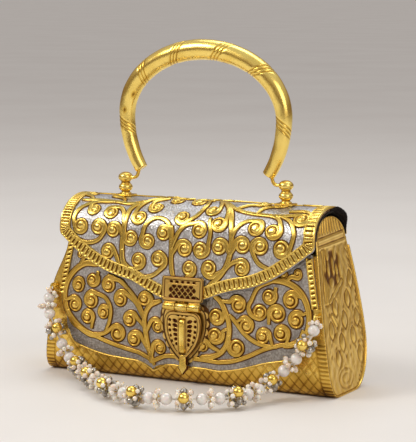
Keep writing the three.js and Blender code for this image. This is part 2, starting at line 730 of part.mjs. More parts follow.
// The plate's foot reaches the two outer knuckles and clears the middle one.
function claspPlateShape() {
  const footZ = CLASP_Z + 1;
  const clearZ = CLASP_Z + CLASP_RADIUS + RUNNING;
  const topZ = CLASP_Z + CLASP_RADIUS + CLASP_PLATE_HEIGHT;
  const notch = CLASP_KNUCKLE / 2 + RUNNING;
  const knuckles = CLASP_KNUCKLE * 1.5;
  const w = CLASP_PLATE_HALF_WIDTH;
  const outline = [
    [-w, topZ],
    [-w, clearZ],
    [-knuckles, clearZ],
    [-knuckles, footZ],
    [-notch, footZ],
    [-notch, clearZ],
    [notch, clearZ],
    [notch, footZ],
    [knuckles, footZ],
    [knuckles, clearZ],
    [w, clearZ],
    [w, topZ],
  ];
  const shape = new THREE.Shape(outline.map(([x, z]) => v2(CLASP_X + x, z)));
  const stepX = (2 * w - 2 * CLASP_MARGIN) / CLASP_COLUMNS;
  const stepZ = (topZ - clearZ - 2 * CLASP_MARGIN) / CLASP_ROWS;
  const open = 0.36;
  for (let row = 0; row < CLASP_ROWS; row++) {
    const shift = row % 2 ? 0.5 : 0;
    for (let column = 0; column < CLASP_COLUMNS - 2 * shift; column++) {
      const x = CLASP_X + stepX * (column + shift - (CLASP_COLUMNS - 1) / 2);
      const z = clearZ + CLASP_MARGIN + stepZ * (row + 0.5);
      shape.holes.push(lozenge(x, z, stepX * open, stepZ * open));
    }
  }
  return shape;
}

const claspPoints = wallPoints(frontWall, CLASP_Z + 25, CLASP_Z - 2, 6);
const claspBand = band(claspPoints, CLASP_IN, CLASP_IN + CLASP_SHEET);
const claspPlate = toSolid(acrossBag(claspBand, () => BASE_HALF_WIDTH))
  .intersect(toSolid(towardsFront(claspPlateShape())))
  .add(claspKnuckle(-1))
  .add(claspKnuckle(1));
addPiece(flap, "clasp_plate", toGeometry(claspPlate), TAN_GOLD);

const claspPin = new THREE.CylinderGeometry(CLASP_PIN_RADIUS, CLASP_PIN_RADIUS, 3 * CLASP_KNUCKLE, ROUND);
addPiece(flap, "clasp_pin", alongX(claspPin, CLASP_X, CLASP_Y, CLASP_Z), STEEL);

// The leaf's piercings fan out on both sides of its slot.
const STAPLE_TOP_Z = LEAF_TOP_Z - LEAF_HEAD;
const STAPLE_FOOT_Z = STAPLE_TOP_Z - STAPLE_LENGTH;
function leafShape() {
  const shape = spade(0);
  const slotHalf = STAPLE_WIDTH / 2 + SLOT_CLEARANCE;
  const slot = new THREE.Path();
  slot.setFromPoints([
    v2(CLASP_X - slotHalf, STAPLE_FOOT_Z - 2 * SLOT_CLEARANCE),
    v2(CLASP_X + slotHalf, STAPLE_FOOT_Z - 2 * SLOT_CLEARANCE),
    v2(CLASP_X + slotHalf, STAPLE_TOP_Z + SLOT_CLEARANCE),
    v2(CLASP_X - slotHalf, STAPLE_TOP_Z + SLOT_CLEARANCE),
  ]);
  shape.holes.push(slot);
  for (const [, side] of SIDES) {
    for (let row = 0; row < PETALS; row++) {
      const z = STAPLE_TOP_Z - SLOT_CLEARANCE - row * PETAL_PITCH;
      const room = LEAF_HALF_WIDTH - slotHalf - CLASP_SHEET - LEAF_RIM - row * row * PETAL_TAPER;
      const middle = CLASP_X + side * (slotHalf + CLASP_SHEET + room / 2);
      const tilt = side * PETAL_TILT;
      const petal = new THREE.Path();
      petal.absellipse(middle, z, room / 2, PETAL_HALF_WIDTH, 0, 2 * Math.PI, false, tilt);
      shape.holes.push(petal);
    }
  }
  return shape;
}

const LEAF_BACK_Y = CLASP_Y + CLASP_SHEET + LEAF_SETBACK;
const LEAF_FACE_Y = LEAF_BACK_Y - CLASP_SHEET;
function leafSlab(shape) {
  return toSolid(towardsFront(shape, CLASP_SHEET).translate(0, LEAF_BACK_Y, 0));
}

function leafTab() {
  const foot = LEAF_TOP_Z - LEAF_HEIGHT;
  const root = foot + 1.5 * LEAF_TAB_HALF_WIDTH;
  const shoulder = foot - LEAF_TAB / 2;
  return new THREE.Shape([
    v2(CLASP_X - LEAF_TAB_HALF_WIDTH, root),
    v2(CLASP_X - LEAF_TAB_HALF_WIDTH, shoulder),
    v2(CLASP_X, foot - LEAF_TAB),
    v2(CLASP_X + LEAF_TAB_HALF_WIDTH, shoulder),
    v2(CLASP_X + LEAF_TAB_HALF_WIDTH, root),
  ]);
}

function leafNeck() {
  const half = CLASP_KNUCKLE / 2 - GAP;
  return new THREE.Shape([
    v2(CLASP_X - half, LEAF_TOP_Z - 1),
    v2(CLASP_X + half, LEAF_TOP_Z - 1),
    v2(CLASP_X + half, CLASP_Z - CLASP_PIN_RADIUS - RUNNING),
    v2(CLASP_X - half, CLASP_Z - CLASP_PIN_RADIUS - RUNNING),
  ]);
}

const clasp = addGroup(bag);
const claspLeaf = leafSlab(leafShape())
  .add(leafSlab(leafTab()))
  .add(leafSlab(leafNeck()))
  .add(claspKnuckle(0));
addPiece(clasp, "clasp_leaf", toGeometry(claspLeaf), TAN_GOLD);

// Catch plate: the spade a little larger, its edge cut into scallops.
function scalloped() {
  const edge = spade(CATCH_MARGIN).getSpacedPoints(2 * SCALLOPS + 4);
  const shape = new THREE.Shape();
  shape.moveTo(edge[0].x, edge[0].y);
  for (let i = 1; i < edge.length; i++) {
    const from = edge[i - 1];
    const to = edge[i];
    const along = to.clone().sub(from).multiplyScalar(SCALLOP_BULGE);
    shape.quadraticCurveTo((from.x + to.x) / 2 + along.y, (from.y + to.y) / 2 - along.x, to.x, to.y);
  }
  return new THREE.Shape(shape.getPoints(3));
}

const CATCH_OUT = ON_PLATE + CATCH;
const catchCover = frontSheet(ON_PLATE, CATCH_OUT, PLATE_TOP, 1);
const catchPlate = catchCover.intersect(toSolid(towardsFront(scalloped())));
addPiece(body, "catch_plate", toGeometry(catchPlate), TAN_GOLD);

// Staple: a flat bar bowed outwards, its two feet on the catch plate.
function stapleShape() {
  const footTop = frontY(STAPLE_TOP_Z) - CATCH_OUT - GAP;
  const footLow = frontY(STAPLE_FOOT_Z) - CATCH_OUT - GAP;
  const crown = LEAF_FACE_Y - STAPLE_PROUD;
  const middle = (STAPLE_TOP_Z + STAPLE_FOOT_Z) / 2;
  const lift = 2 * crown - (footTop + footLow) / 2;
  const shape = new THREE.Shape();
  shape.moveTo(footTop, STAPLE_TOP_Z);
  shape.quadraticCurveTo(lift, middle, footLow, STAPLE_FOOT_Z);
  shape.lineTo(footLow, STAPLE_FOOT_Z + STAPLE_FOOT);
  shape.quadraticCurveTo(lift + 2 * STAPLE_SHEET, middle, footTop, STAPLE_TOP_Z - STAPLE_FOOT);
  return shape;
}

const staple = acrossBag(stapleShape(), () => STAPLE_WIDTH / 2).translate(CLASP_X, 0, 0);
addPiece(body, "catch_staple", staple, GOLD);

// Posts: turned finials on the flap's crest, each bolted through with a nut inside

const BASE_Z = CREST_Z + GAP;
const FOOT_Z = BASE_Z + POST_BASE + GAP;
const NUT_TOP_Z = SHOULDER_Z + ARCH_RISE + FLAP_IN - GAP;

function postProfile() {
  const profile = new THREE.Path();
  const tailZ = NUT_TOP_Z - NUT - STUD_TAIL;
  const collarZ = FOOT_Z + POST_FOOT + POST_COLLAR;
  const neckZ = PIVOT_Z - POST_BALL_RISE + GAP;
  profile.moveTo(0, tailZ);
  profile.lineTo(STUD_RADIUS, tailZ);
  profile.lineTo(STUD_RADIUS, FOOT_Z);
  profile.lineTo(POST_FOOT_RADIUS, FOOT_Z);
  profile.lineTo(POST_FOOT_RADIUS, FOOT_Z + POST_FOOT);
  profile.lineTo(POST_NECK_RADIUS, collarZ);
  profile.quadraticCurveTo(POST_BULB, (collarZ + neckZ) / 2, POST_NECK_RADIUS, neckZ);
  const start = -Math.acos(POST_NECK_RADIUS / POST_BALL);
  profile.absellipse(0, PIVOT_Z, POST_BALL, POST_BALL_RISE, start, Math.PI / 2);
  return profile.getPoints(4);
}

const pivotHole = new THREE.CylinderGeometry(
  WIRE_RADIUS + RUNNING,
  WIRE_RADIUS + RUNNING,
  4 * POST_BALL,
  ROUND,
);
for (const [word, side] of SIDES) {
  const stand = addGroup(flap);
  stand.position.set(side * POST_X, SHOULDER_Y, 0);
  const turned = new THREE.LatheGeometry(postProfile(), ROUND + 2).rotateX(Math.PI / 2);
  const bored = toSolid(turned).subtract(toSolid(alongX(pivotHole.clone(), 0, 0, PIVOT_Z)));
  addPiece(stand, "post_" + word, toGeometry(bored), GOLD);

  const halfLength = POST_BASE_LENGTH / 2;
  const halfDepth = POST_BASE_DEPTH / 2;
  const baseOutline = new THREE.Shape([
    v2(-halfLength, -halfDepth),
    v2(halfLength, -halfDepth),
    v2(halfLength, halfDepth),
    v2(-halfLength, halfDepth),
  ]);
  baseOutline.holes.push(new THREE.Path().absarc(0, 0, STUD_HOLE, 0, 2 * Math.PI));
  addPiece(stand, "post_base_" + word, extruded(baseOutline, POST_BASE).translate(0, 0, BASE_Z), GOLD);

  const nut = ringOf(STUD_RADIUS + GAP, NUT_RADIUS, NUT, 6).rotateX(Math.PI / 2);
  addPiece(stand, "post_nut_" + word, nut.translate(0, 0, NUT_TOP_Z - NUT / 2), GOLD);
}

// Handle: a hollow tube that swells to its crown, on two wires that turn in the posts

const WAIST_Z = PIVOT_Z + HANDLE_WAIST_RISE;

function handlePoint(angle) {
  const height = angle < 0 || angle > Math.PI ? HANDLE_LOWER_RADIUS : HANDLE_TOP_RISE;
  return new THREE.Vector3(
    HANDLE_HALF_WIDTH * Math.cos(angle),
    0,
    WAIST_Z + height * Math.sin(angle),
  );
}

function handleTangent(angle) {
  const step = 1e-3;
  return handlePoint(angle + step)
    .sub(handlePoint(angle - step))
    .normalize();
}

function handleRadius(angle) {
  const along = (angle + HANDLE_END_ANGLE) / (Math.PI + 2 * HANDLE_END_ANGLE);
  const swell = Math.max(Math.sin(Math.PI * along), 0);
  return HANDLE_END_RADIUS + (HANDLE_TOP_RADIUS - HANDLE_END_RADIUS) * swell;
}

// A straight cylinder bent along the handle's line, thinner by a wall and longer by a reach.
function bentTube(wall, reach) {
  const straight = new THREE.CylinderGeometry(1, 1, 1, ROUND, HANDLE_STEPS);
  const start = -HANDLE_END_ANGLE - reach;
  const sweep = Math.PI + 2 * (HANDLE_END_ANGLE + reach);
  return mapped(straight, (v) => {
    const angle = start + sweep * (v.y + 0.5);
    const centre = handlePoint(angle);
    const tangent = handleTangent(angle);
    const radius = handleRadius(angle) - wall;
    v.set(
      centre.x + tangent.z * v.x * radius,
      -v.z * radius,
      centre.z - tangent.x * v.x * radius,
    );
  });
}

const handle = addGroup(bag);
handle.position.y = SHOULDER_Y;
const tube = toSolid(bentTube(0, 0)).subtract(toSolid(bentTube(HANDLE_WALL, BORE_REACH)));
addPiece(handle, "handle_tube", toGeometry(tube), GOLD);

for (const [word, side] of SIDES) {
  const angle = side > 0 ? -HANDLE_END_ANGLE : Math.PI + HANDLE_END_ANGLE;
  const end = handlePoint(angle);
  const out = handleTangent(angle).multiplyScalar(-side);
  const boreRadius = HANDLE_END_RADIUS - HANDLE_WALL - GAP;
  const plug = new THREE.CylinderGeometry(boreRadius, boreRadius, PLUG_LENGTH, ROUND);
  plug.applyQuaternion(new THREE.Quaternion().setFromUnitVectors(new THREE.Vector3(0, 1, 0), out));
  const plugMiddle = end.clone().addScaledVector(out, GAP - PLUG_LENGTH / 2);
  plug.translate(plugMiddle.x, 0, plugMiddle.z);
  const inner = Math.abs(end.x) - WIRE_BEND;
  const route = [
    end.clone().addScaledVector(out, -PLUG_LENGTH / 2),
    end.clone().addScaledVector(out, WIRE_BEND),
    new THREE.Vector3(side * inner, 0, PIVOT_Z + 1.5 * WIRE_BEND),
    new THREE.Vector3(side * (inner + WIRE_BEND), 0, PIVOT_Z + 0.2 * WIRE_BEND),
    new THREE.Vector3(side * (inner + 2.8 * WIRE_BEND), 0, PIVOT_Z),
    new THREE.Vector3(side * (POST_X - POST_BALL), 0, PIVOT_Z),
    new THREE.Vector3(side * (POST_X + POST_BALL / 2), 0, PIVOT_Z),
  ];
  const wire = toSolid(wireAlong(route, WIRE_RADIUS, 16, 8)).add(toSolid(plug));
  addPiece(handle, "handle_wire_" + word, toGeometry(wire), GOLD);
}

// Strap: a lug and a ring at each end, one thread and the pearls on it

const strap = addGroup(bag);
for (const [word, side] of SIDES) {
  const lugZ = pick(side, LEFT_LUG_Z, RIGHT_LUG_Z);
  const lugX = side * (reach(lugZ, side) - LUG_INSET);
  const bowY = frontY(lugZ) - GAP - LUG_PAD / 2;
  const bow = [-90, -45, 0, 45, 90].map((degrees) => {
    const angle = THREE.MathUtils.degToRad(degrees);
    const x = lugX + LUG_LOOP_HALF_WIDTH * Math.sin(angle);
    return new THREE.Vector3(x, bowY - LUG_LOOP_DEPTH * Math.cos(angle), lugZ);
  });
  const padOutline = towardsFront(roundSection(LUG_PAD_RADIUS, ROUND, lugX, lugZ));
  const lug = frontSheet(GAP, GAP + LUG_PAD, PLATE_TOP, FRONT_BELLY_Z - 2)
    .intersect(toSolid(padOutline))
    .add(toSolid(wireAlong(bow, LUG_WIRE, 8, 8)));
  addPiece(body, "strap_lug_" + word, toGeometry(lug), GOLD);

  const ring = new THREE.TorusGeometry(RING_RADIUS, RING_WIRE, 6, 14).rotateY(Math.PI / 2);
  const ringZ = lugZ - RING_RADIUS + RING_WIRE + LUG_WIRE + GAP;
  ring.translate(lugX, bowY - LUG_LOOP_DEPTH, ringZ);
  addPiece(strap, "strap_ring_" + word, ring, GOLD);
}

const strapPoints = STRAP_ROUTE.map(([x, y, z]) => new THREE.Vector3(x, y, z));
const strapLine = new THREE.CatmullRomCurve3(strapPoints, false, "centripetal");
addPiece(strap, "strap_thread", wireAlong(strapPoints, THREAD_RADIUS, STRAP_STEPS, 8), THREAD);

function pearlProfile() {
  const half = Math.sqrt(PEARL_RADIUS ** 2 - PEARL_BORE ** 2);
  const lowest = Math.atan2(-half, PEARL_BORE);
  const arc = new THREE.Path().absarc(0, 0, PEARL_RADIUS, lowest, -lowest).getPoints(3);
  return [...arc, arc[0]];
}

const strapLength = strapLine.getLength();
const pearlPlaces = [];
for (let along = PEARL_START; along < strapLength; along += PEARL_UNIT) {
  pearlPlaces.push(along, along + PEARL_PITCH);
}
pearlPlaces
  .filter((along) => along < strapLength - PEARL_START)
  .forEach((along, i) => {
    const at = strapLine.getPointAt(along / strapLength);
    const direction = strapLine.getTangentAt(along / strapLength);
    const turn = new THREE.Quaternion().setFromUnitVectors(new THREE.Vector3(0, 1, 0), direction);
    const pearl = new THREE.LatheGeometry(pearlProfile(), 8).applyQuaternion(turn);
    addPiece(strap, "pearl_" + String(i + 1).padStart(2, "0"), pearl.translate(at.x, at.y, at.z), PEARL);
  });

export default bag;
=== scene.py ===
import json
import math
import random

import bmesh
import bpy
import numpy as np
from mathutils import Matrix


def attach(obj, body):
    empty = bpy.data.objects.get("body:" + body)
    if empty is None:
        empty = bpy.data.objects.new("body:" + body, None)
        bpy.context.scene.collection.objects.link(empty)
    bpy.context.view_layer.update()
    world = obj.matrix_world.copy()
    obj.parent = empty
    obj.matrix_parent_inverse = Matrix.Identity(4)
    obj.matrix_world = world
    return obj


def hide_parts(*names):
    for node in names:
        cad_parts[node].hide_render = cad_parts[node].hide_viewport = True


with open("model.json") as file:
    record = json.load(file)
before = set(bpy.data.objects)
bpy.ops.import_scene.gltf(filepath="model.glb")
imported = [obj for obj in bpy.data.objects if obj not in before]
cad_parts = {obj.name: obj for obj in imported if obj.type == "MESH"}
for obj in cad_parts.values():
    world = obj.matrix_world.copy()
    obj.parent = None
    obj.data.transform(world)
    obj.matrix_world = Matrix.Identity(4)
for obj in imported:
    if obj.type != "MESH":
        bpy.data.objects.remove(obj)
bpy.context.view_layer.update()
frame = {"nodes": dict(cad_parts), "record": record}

# A hinged metal evening bag with chased scrollwork. Lengths are in millimetres until a mesh is made.

MM = 0.001
SIDES = (("left", -1), ("right", 1))


def add_object(name, data):
    item = bpy.data.objects.new(name, data)
    bpy.context.collection.objects.link(item)
    return item


# Camera, its place in metres

CAMERA_PLACE = (0.5715, -1.0716, 0.2519)
CAMERA_TILT = 82.86
CAMERA_TURN = 28
CAMERA_LENS = 157.3
SENSOR_WIDTH = 36


def add_camera():
    data = bpy.data.cameras.new("camera")
    data.lens = CAMERA_LENS
    data.sensor_width = SENSOR_WIDTH
    camera = add_object("camera", data)
    camera.location = CAMERA_PLACE
    camera.rotation_euler = (math.radians(CAMERA_TILT), 0, math.radians(CAMERA_TURN))
    bpy.context.scene.camera = camera


add_camera()


# Curves

def smoothstep(x, low, high):
    t = np.clip((x - low) / (high - low), 0, 1)
    return t * t * (3 - 2 * t)


def ridge(distance, half_width):
    return np.exp(-((distance / half_width) ** 2))


def repeat(distance, pitch):
    """The distance from the nearest of a row of even lines."""
    return np.abs((distance / pitch + 0.5) % 1 - 0.5) * pitch


def circle(count):
    """Even angles once round."""
    return np.linspace(0, 2 * math.pi, count, endpoint=False)


def stack(*columns):
    return np.stack(np.broadcast_arrays(*columns), -1)


def bezier(points, count):
    """Points along a Bezier curve of any degree."""
    t = np.linspace(0, 1, count)[:, None]
    level = [np.array(p, float)[None, :] + 0 * t for p in points]
    while len(level) > 1:
        level = [a + (b - a) * t for a, b in zip(level, level[1:])]
    return level[0]


def spacing(points):
    """The distance along a line of points."""
    steps = np.linalg.norm(np.diff(points, axis=0), axis=1)
    return np.concatenate([[0], np.cumsum(steps)])


def at_each(at, along, line):
    """What a line holds at distances along it."""
    return np.stack([np.interp(at, along, column) for column in line.T], -1)


def resample(points, step):
    along = spacing(points)
    count = max(int(round(along[-1] / step)), 2) + 1
    return at_each(np.linspace(0, along[-1], count), along, points)


def closed(points, step):
    """An even line round an outline and back to its start."""
    return resample(np.vstack([points, points[:1]]), step)


SPAN_STEPS = 17


def through(points, step):
    """An even line through the points, on a centripetal Catmull-Rom curve."""
    p = np.array(points, float)
    if len(p) == 2:
        return resample(p, step)
    p = np.vstack([2 * p[0] - p[1], p, 2 * p[-1] - p[-2]])
    line = []
    for a, b, c, d in zip(p, p[1:], p[2:], p[3:]):
        k1, k2, k3 = np.cumsum([np.linalg.norm(v) ** 0.5 for v in (b - a, c - b, d - c)])
        t = np.linspace(k1, k2, SPAN_STEPS)[:, None]
        ab = a + (b - a) * t / k1
        bc = b + (c - b) * (t - k1) / (k2 - k1)
        cd = c + (d - c) * (t - k2) / (k3 - k2)
        abc = ab + (bc - ab) * t / k2
        bcd = bc + (cd - bc) * (t - k1) / (k3 - k1)
        line.append((abc + (bcd - abc) * (t - k1) / (k2 - k1))[:-1])
    line.append(p[-2:-1])
    return resample(np.vstack(line), step)


def directions(points):
    t = np.gradient(points, axis=0)
    return t / np.linalg.norm(t, axis=1)[:, None]


def sideways(points):
    """Directions a quarter turn from those of a flat line."""
    t = directions(points)
    return stack(-t[:, 1], t[:, 0])


# The bag's section in Y and Z, as in the CAD model

BASE_HALF = 102.5
SHOULDER_Z = 94
RIM_Z = 88
CREST = (-2, 94, 22.4, 15.2)
FRONT_WALL = bezier([(-30.6, 18), (-30.6, 55), (-24.4, 94)], 120)
FRONT_CORNER = bezier([(-30.6, 18), (-30.6, 0), (-19, 0)], 40)
BASE_FLAT = bezier([(-19, 0), (5, 0)], 20)
BACK_CORNER = bezier([(5, 0), (17.8, 0), (30.6, 13.6), (30.6, 34)], 50)
BACK_WALL = bezier([(30.6, 34), (30.6, 55), (20.4, 94)], 90)


def arch(count):
    angle = np.linspace(0, math.pi, count)
    y, z, half, rise = CREST
    return stack(y + half * np.cos(angle), z + rise * np.sin(angle))


class Line:
    """A line in Y and Z with outward normals, read by the distance along it at a stand-off."""

    def __init__(self, points, stand_off=0):
        self.points = points
        self.normals = -sideways(points)
        self.along = spacing(points + stand_off * self.normals)

    def at(self, s, h):
        y, z = (np.interp(s, self.along, column) for column in self.points.T)
        ny, nz = (np.interp(s, self.along, column) for column in self.normals.T)
        return y + ny * h, z + nz * h

    def place(self, x, s, h):
        """A point in space: across the bag, along the line, and out from it."""
        return stack(x, *self.at(s, h))


def up_to(points, z):
    return points[points[:, 1] <= z]


WRAP = Line(np.vstack([
    up_to(FRONT_WALL, RIM_Z)[::-1], FRONT_CORNER[1:], BASE_FLAT[1:],
    BACK_CORNER[1:], up_to(BACK_WALL, RIM_Z)[1:],
]))

# The flap is read from its crest, and its lower part runs past its tip.
FLAP_TOP = 4.4
FLAP_LOW_Z = 48
ARCH_HALF = 60
FLAP = Line(np.vstack([
    arch(2 * ARCH_HALF + 1), FRONT_WALL[FRONT_WALL[:, 1] > FLAP_LOW_Z][::-1][1:],
]), FLAP_TOP)
FLAP.along -= FLAP.along[ARCH_HALF]
FLAP_BACK = FLAP.along[0]
FRONT = Line(np.vstack([FRONT_WALL[::-1], FRONT_CORNER[1:]]))
FRONT_HEIGHTS = FRONT.points[::-1, 1]
FRONT_ALONG = FRONT.along[::-1]


END_LEAN = {-1: 0.11, 1: 0.145}
LEFT_TUCK = 7
LEFT_TUCK_Z = (54, 84)
FLAP_HALF = {-1: 90.76, 1: 89.37}
FLAP_LEAN = {-1: 0.01, 1: 0.07}


def reach(z, side):
    """How far an end of the bag lies from its middle at a height."""
    half = BASE_HALF - END_LEAN[side] * z
    return half - LEFT_TUCK * smoothstep(z, *LEFT_TUCK_Z) if side < 0 else half


def flap_reach(z, side):
    return FLAP_HALF[side] - FLAP_LEAN[side] * (z - SHOULDER_Z)


def front_place(x, z, h):
    """A point on the front: across, up, and out from the wall's face."""
    return FRONT.place(x, np.interp(z, FRONT_HEIGHTS, FRONT_ALONG), h)


def flap_drop(z):
    """The distance down from the crest of a height on the flap's front."""
    along = FLAP.along[len(FLAP.along) // 3:]
    return np.interp(-np.asarray(z, float), -FLAP.at(along, FLAP_TOP)[1], along)


# Mesh making

POLE_GAP = 0.14
ODD_AXIS = (0.31, 0.2, 0.93)  # no rod here runs this way


def quads(index):
    """Faces between neighbours in a grid of point numbers."""
    return np.stack([index[:-1, :-1], index[:-1, 1:], index[1:, 1:], index[1:, :-1]], -1).reshape(-1, 4)


class Shape:
    """Points and faces with a tone at each point: 0 in the hollows and 1 where it is raised. The darkening
    in the hollows is partly patina and partly painted shade.
    """

    def __init__(self):
        self.points, self.faces, self.tones, self.kinds, self.count = [], [], [], [], 0

    def add(self, points, faces, tone, kind):
        self.points.append(points)
        self.tones.append(np.broadcast_to(tone, len(points)))
        self.faces += [[int(i) + self.count for i in face] for face in faces]
        self.kinds += [kind] * len(faces)
        self.count += len(points)

    def grid(self, points, tone, kind=0, loop=False, caps=False):
        """Rows of points, each row closed on itself for a tube."""
        rows, cols = points.shape[:2]
        index = np.arange(rows * cols).reshape(rows, cols)
        ring = np.hstack([index, index[:, :1]]) if loop else index
        faces = quads(ring).tolist()
        if caps:
            faces += [index[0, ::-1].tolist(), index[-1].tolist()]
        self.add(points.reshape(-1, 3), faces, np.broadcast_to(tone, (rows, cols)).ravel(), kind)

    def slab(self, outer, inner, tone, kind=0, edge_kind=0):
        """A closed sheet between two grids of points, its cut edges in a material of their own, which on the
        flap is a painted shade.
        """
        rows, cols = outer.shape[:2]
        count = rows * cols
        index = np.arange(count).reshape(rows, cols)
        top = quads(index)
        rim = np.concatenate([index[0, :-1], index[:-1, -1], index[-1, :0:-1], index[:0:-1, 0]])
        after = np.roll(rim, -1)
        edge = np.stack([rim, rim + count, after + count, after], -1)
        faces = top.tolist() + (top[:, ::-1] + count).tolist() + edge.tolist()
        points = np.vstack([outer.reshape(-1, 3), inner.reshape(-1, 3)])
        tones = np.broadcast_to(tone, (rows, cols)).ravel()
        self.add(points, faces, np.concatenate([tones, np.ones(count)]), kind)
        self.kinds[-len(edge):] = [edge_kind] * len(edge)

    def ribbon(self, place, path, half_width, base, height, profile, kind=0):
        """A raised strip along a path on a surface."""
        across = sideways(path)
        width = np.broadcast_to(half_width, len(path))[:, None]
        rise = np.broadcast_to(height, len(path))[:, None]
        offset, level = np.array(profile, float).T
        u = path[:, :1] + across[:, :1] * width * offset
        v = path[:, 1:] + across[:, 1:] * width * offset
        points = place(u, v, base + rise * level)
        self.grid(points, np.broadcast_to(level, points.shape[:2]), kind, loop=True, caps=True)

    def ball(self, centre, radius, axis, kind=0, stretch=1.0, rows=9, cols=12):
        """A round bead, its poles on an axis."""
        side, up = frame_about(axis)
        turn = circle(cols)
        fall = np.linspace(POLE_GAP, math.pi - POLE_GAP, rows)[:, None]
        ring = radius * np.sin(fall)
        points = np.array(centre) + axis * (radius * stretch * np.cos(fall) + 0 * turn)[..., None]
        points = points + side * (ring * np.cos(turn))[..., None] + up * (ring * np.sin(turn))[..., None]
        self.grid(points, 1, kind, loop=True, caps=True)

    def tube(self, path, radius, kind=0, sides=10, tone=1):
        """A round rod along points in space."""
        t = directions(path)
        side = np.cross(t, ODD_AXIS)
        side /= np.linalg.norm(side, axis=1)[:, None]
        up = np.cross(t, side)
        turn = circle(sides)
        size = np.broadcast_to(radius, len(path))[:, None]
        points = path[:, None] + side[:, None] * (size * np.cos(turn))[..., None]
        points = points + up[:, None] * (size * np.sin(turn))[..., None]
        self.grid(points, tone, kind, loop=True, caps=True)

    def make(self, name, materials, body, slot, replaces=()):
        mesh = bpy.data.meshes.new(name)
        points = np.vstack(self.points) * MM
        mesh.from_pydata(points.tolist(), [], self.faces)
        for material in materials:
            mesh.materials.append(material)
        mesh.polygons.foreach_set("material_index", self.kinds)
        mesh.polygons.foreach_set("use_smooth", [True] * len(self.faces))
        tone = mesh.attributes.new("tone", "FLOAT", "POINT")
        tone.data.foreach_set("value", np.concatenate(self.tones).astype(np.float32))
        work = bmesh.new()
        work.from_mesh(mesh)
        bmesh.ops.recalc_face_normals(work, faces=work.faces)
        work.to_mesh(mesh)
        work.free()
        return settle(add_object(name, mesh), body, replaces)


def settle(piece, body, replaces=()):
    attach(piece, body)
    if replaces:
        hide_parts(*replaces)
    return piece


def frame_about(axis):
    """Two directions across an axis."""
    side = np.cross(axis, [0, 0, 1]) if abs(axis[2]) < 0.9 else np.cross(axis, [1, 0, 0])
    side = side / np.linalg.norm(side)
    return side, np.cross(axis, side)


# Materials

def set_stops(ramp, stops):
    marks = ramp.color_ramp.elements
    while len(marks) < len(stops):
        marks.new(0.5)
    for mark, (place, rgb) in zip(marks, stops):
        mark.position = place
        mark.color = (*rgb, 1)


class Look:
    """A material in the making, with short ways to add its nodes."""

    def __init__(self, name, constants):
        self.material = bpy.data.materials.new(name)
        self.material.use_nodes = True
        self.nodes = self.material.node_tree.nodes
        self.links = self.material.node_tree.links
        self.shader = self.nodes["Principled BSDF"]
        for socket, value in constants.items():
            self.shader.inputs[socket].default_value = value
        self.where = self.nodes.new("ShaderNodeTexCoord").outputs["Object"]

    def noise(self, size, detail=3.0):
        """Soft noise with features of about that many millimetres."""
        node = self.nodes.new("ShaderNodeTexNoise")
        node.inputs["Scale"].default_value = 1 / (size * MM)
        node.inputs["Detail"].default_value = detail
        self.links.new(self.where, node.inputs["Vector"])
        return node.outputs["Fac"]

    def cells(self, size):
        node = self.nodes.new("ShaderNodeTexVoronoi")
        node.inputs["Scale"].default_value = 1 / (size * MM)
        self.links.new(self.where, node.inputs["Vector"])
        return node.outputs["Distance"]

    def tone(self):
        node = self.nodes.new("ShaderNodeAttribute")
        node.attribute_name = "tone"
        return node.outputs["Fac"]

    def between(self, value, low, high, to_low, to_high):
        node = self.nodes.new("ShaderNodeMapRange")
        for socket, number in zip(node.inputs[1:5], (low, high, to_low, to_high)):
            socket.default_value = number
        self.links.new(value, node.inputs[0])
        return node.outputs[0]

    def total(self, first, second):
        node = self.nodes.new("ShaderNodeMath")
        self.links.new(first, node.inputs[0])
        self.links.new(second, node.inputs[1])
        return node.outputs[0]

    def colour(self, value, stops):
        ramp = self.nodes.new("ShaderNodeValToRGB")
        self.links.new(value, ramp.inputs["Fac"])
        set_stops(ramp, stops)
        self.links.new(ramp.outputs["Color"], self.shader.inputs["Base Color"])

    def rough(self, value, low, high, smooth, dull):
        self.links.new(self.between(value, low, high, smooth, dull), self.shader.inputs["Roughness"])

    def bump(self, value, depth, strength=1.0):
        node = self.nodes.new("ShaderNodeBump")
        node.inputs["Strength"].default_value = strength
        node.inputs["Distance"].default_value = depth * MM
        self.links.new(value, node.inputs["Height"])
        self.links.new(node.outputs["Normal"], self.shader.inputs["Normal"])


PATCH_SIZE = 9
GRAIN_SIZE = 0.9
GRAIN_DEPTH = 0.05


def metal(name, stops, roughness, toned):
    """A metal with patches of wear and a fine grain. A toned one darkens in its hollows, partly patina and
    partly painted shade.
    """
    look = Look(name, {"Metallic": 1.0})
    patches = look.noise(PATCH_SIZE, 4)
    if toned:
        level = look.total(look.tone(), look.between(patches, 0.3, 0.7, -0.12, 0.12))
    else:
        level = look.between(patches, 0.3, 0.7, 0.62, 1.0)
    look.colour(level, stops)
    look.rough(level, 0.2, 1.0, roughness[1], roughness[0])
    look.bump(look.noise(GRAIN_SIZE, 2), GRAIN_DEPTH)
    return look.material


DARK_BROWN = (0.12, 0.05, 0.008)
UMBER = (0.42, 0.23, 0.035)
YELLOW_GOLD = (0.81, 0.54, 0.095)
PALE_GOLD = (0.95, 0.72, 0.2)
GOLD_STOPS = [(0.02, DARK_BROWN), (0.34, UMBER), (0.66, YELLOW_GOLD), (1.0, PALE_GOLD)]
# Darker stops for the gold on the front, which paint the shade that falls there.
FRONT_SHADED_STOPS = [
    (0.02, DARK_BROWN), (0.34, (0.34, 0.17, 0.026)), (0.66, (0.7, 0.43, 0.07)), (1.0, (0.86, 0.58, 0.13)),
]
END_STOPS = [
    (0.0, (0.1, 0.03, 0.008)), (0.3, (0.3, 0.14, 0.03)),
    (0.66, (0.76, 0.48, 0.095)), (1.0, (0.95, 0.67, 0.18)),
]
TAN_STOPS = [(0.0, (0.24, 0.11, 0.02)), (0.4, (0.5, 0.28, 0.06)), (1.0, (0.84, 0.57, 0.16))]
SHADOW_STOPS = [(0.5, (0.09, 0.04, 0.014)), (1.0, (0.19, 0.1, 0.04))]
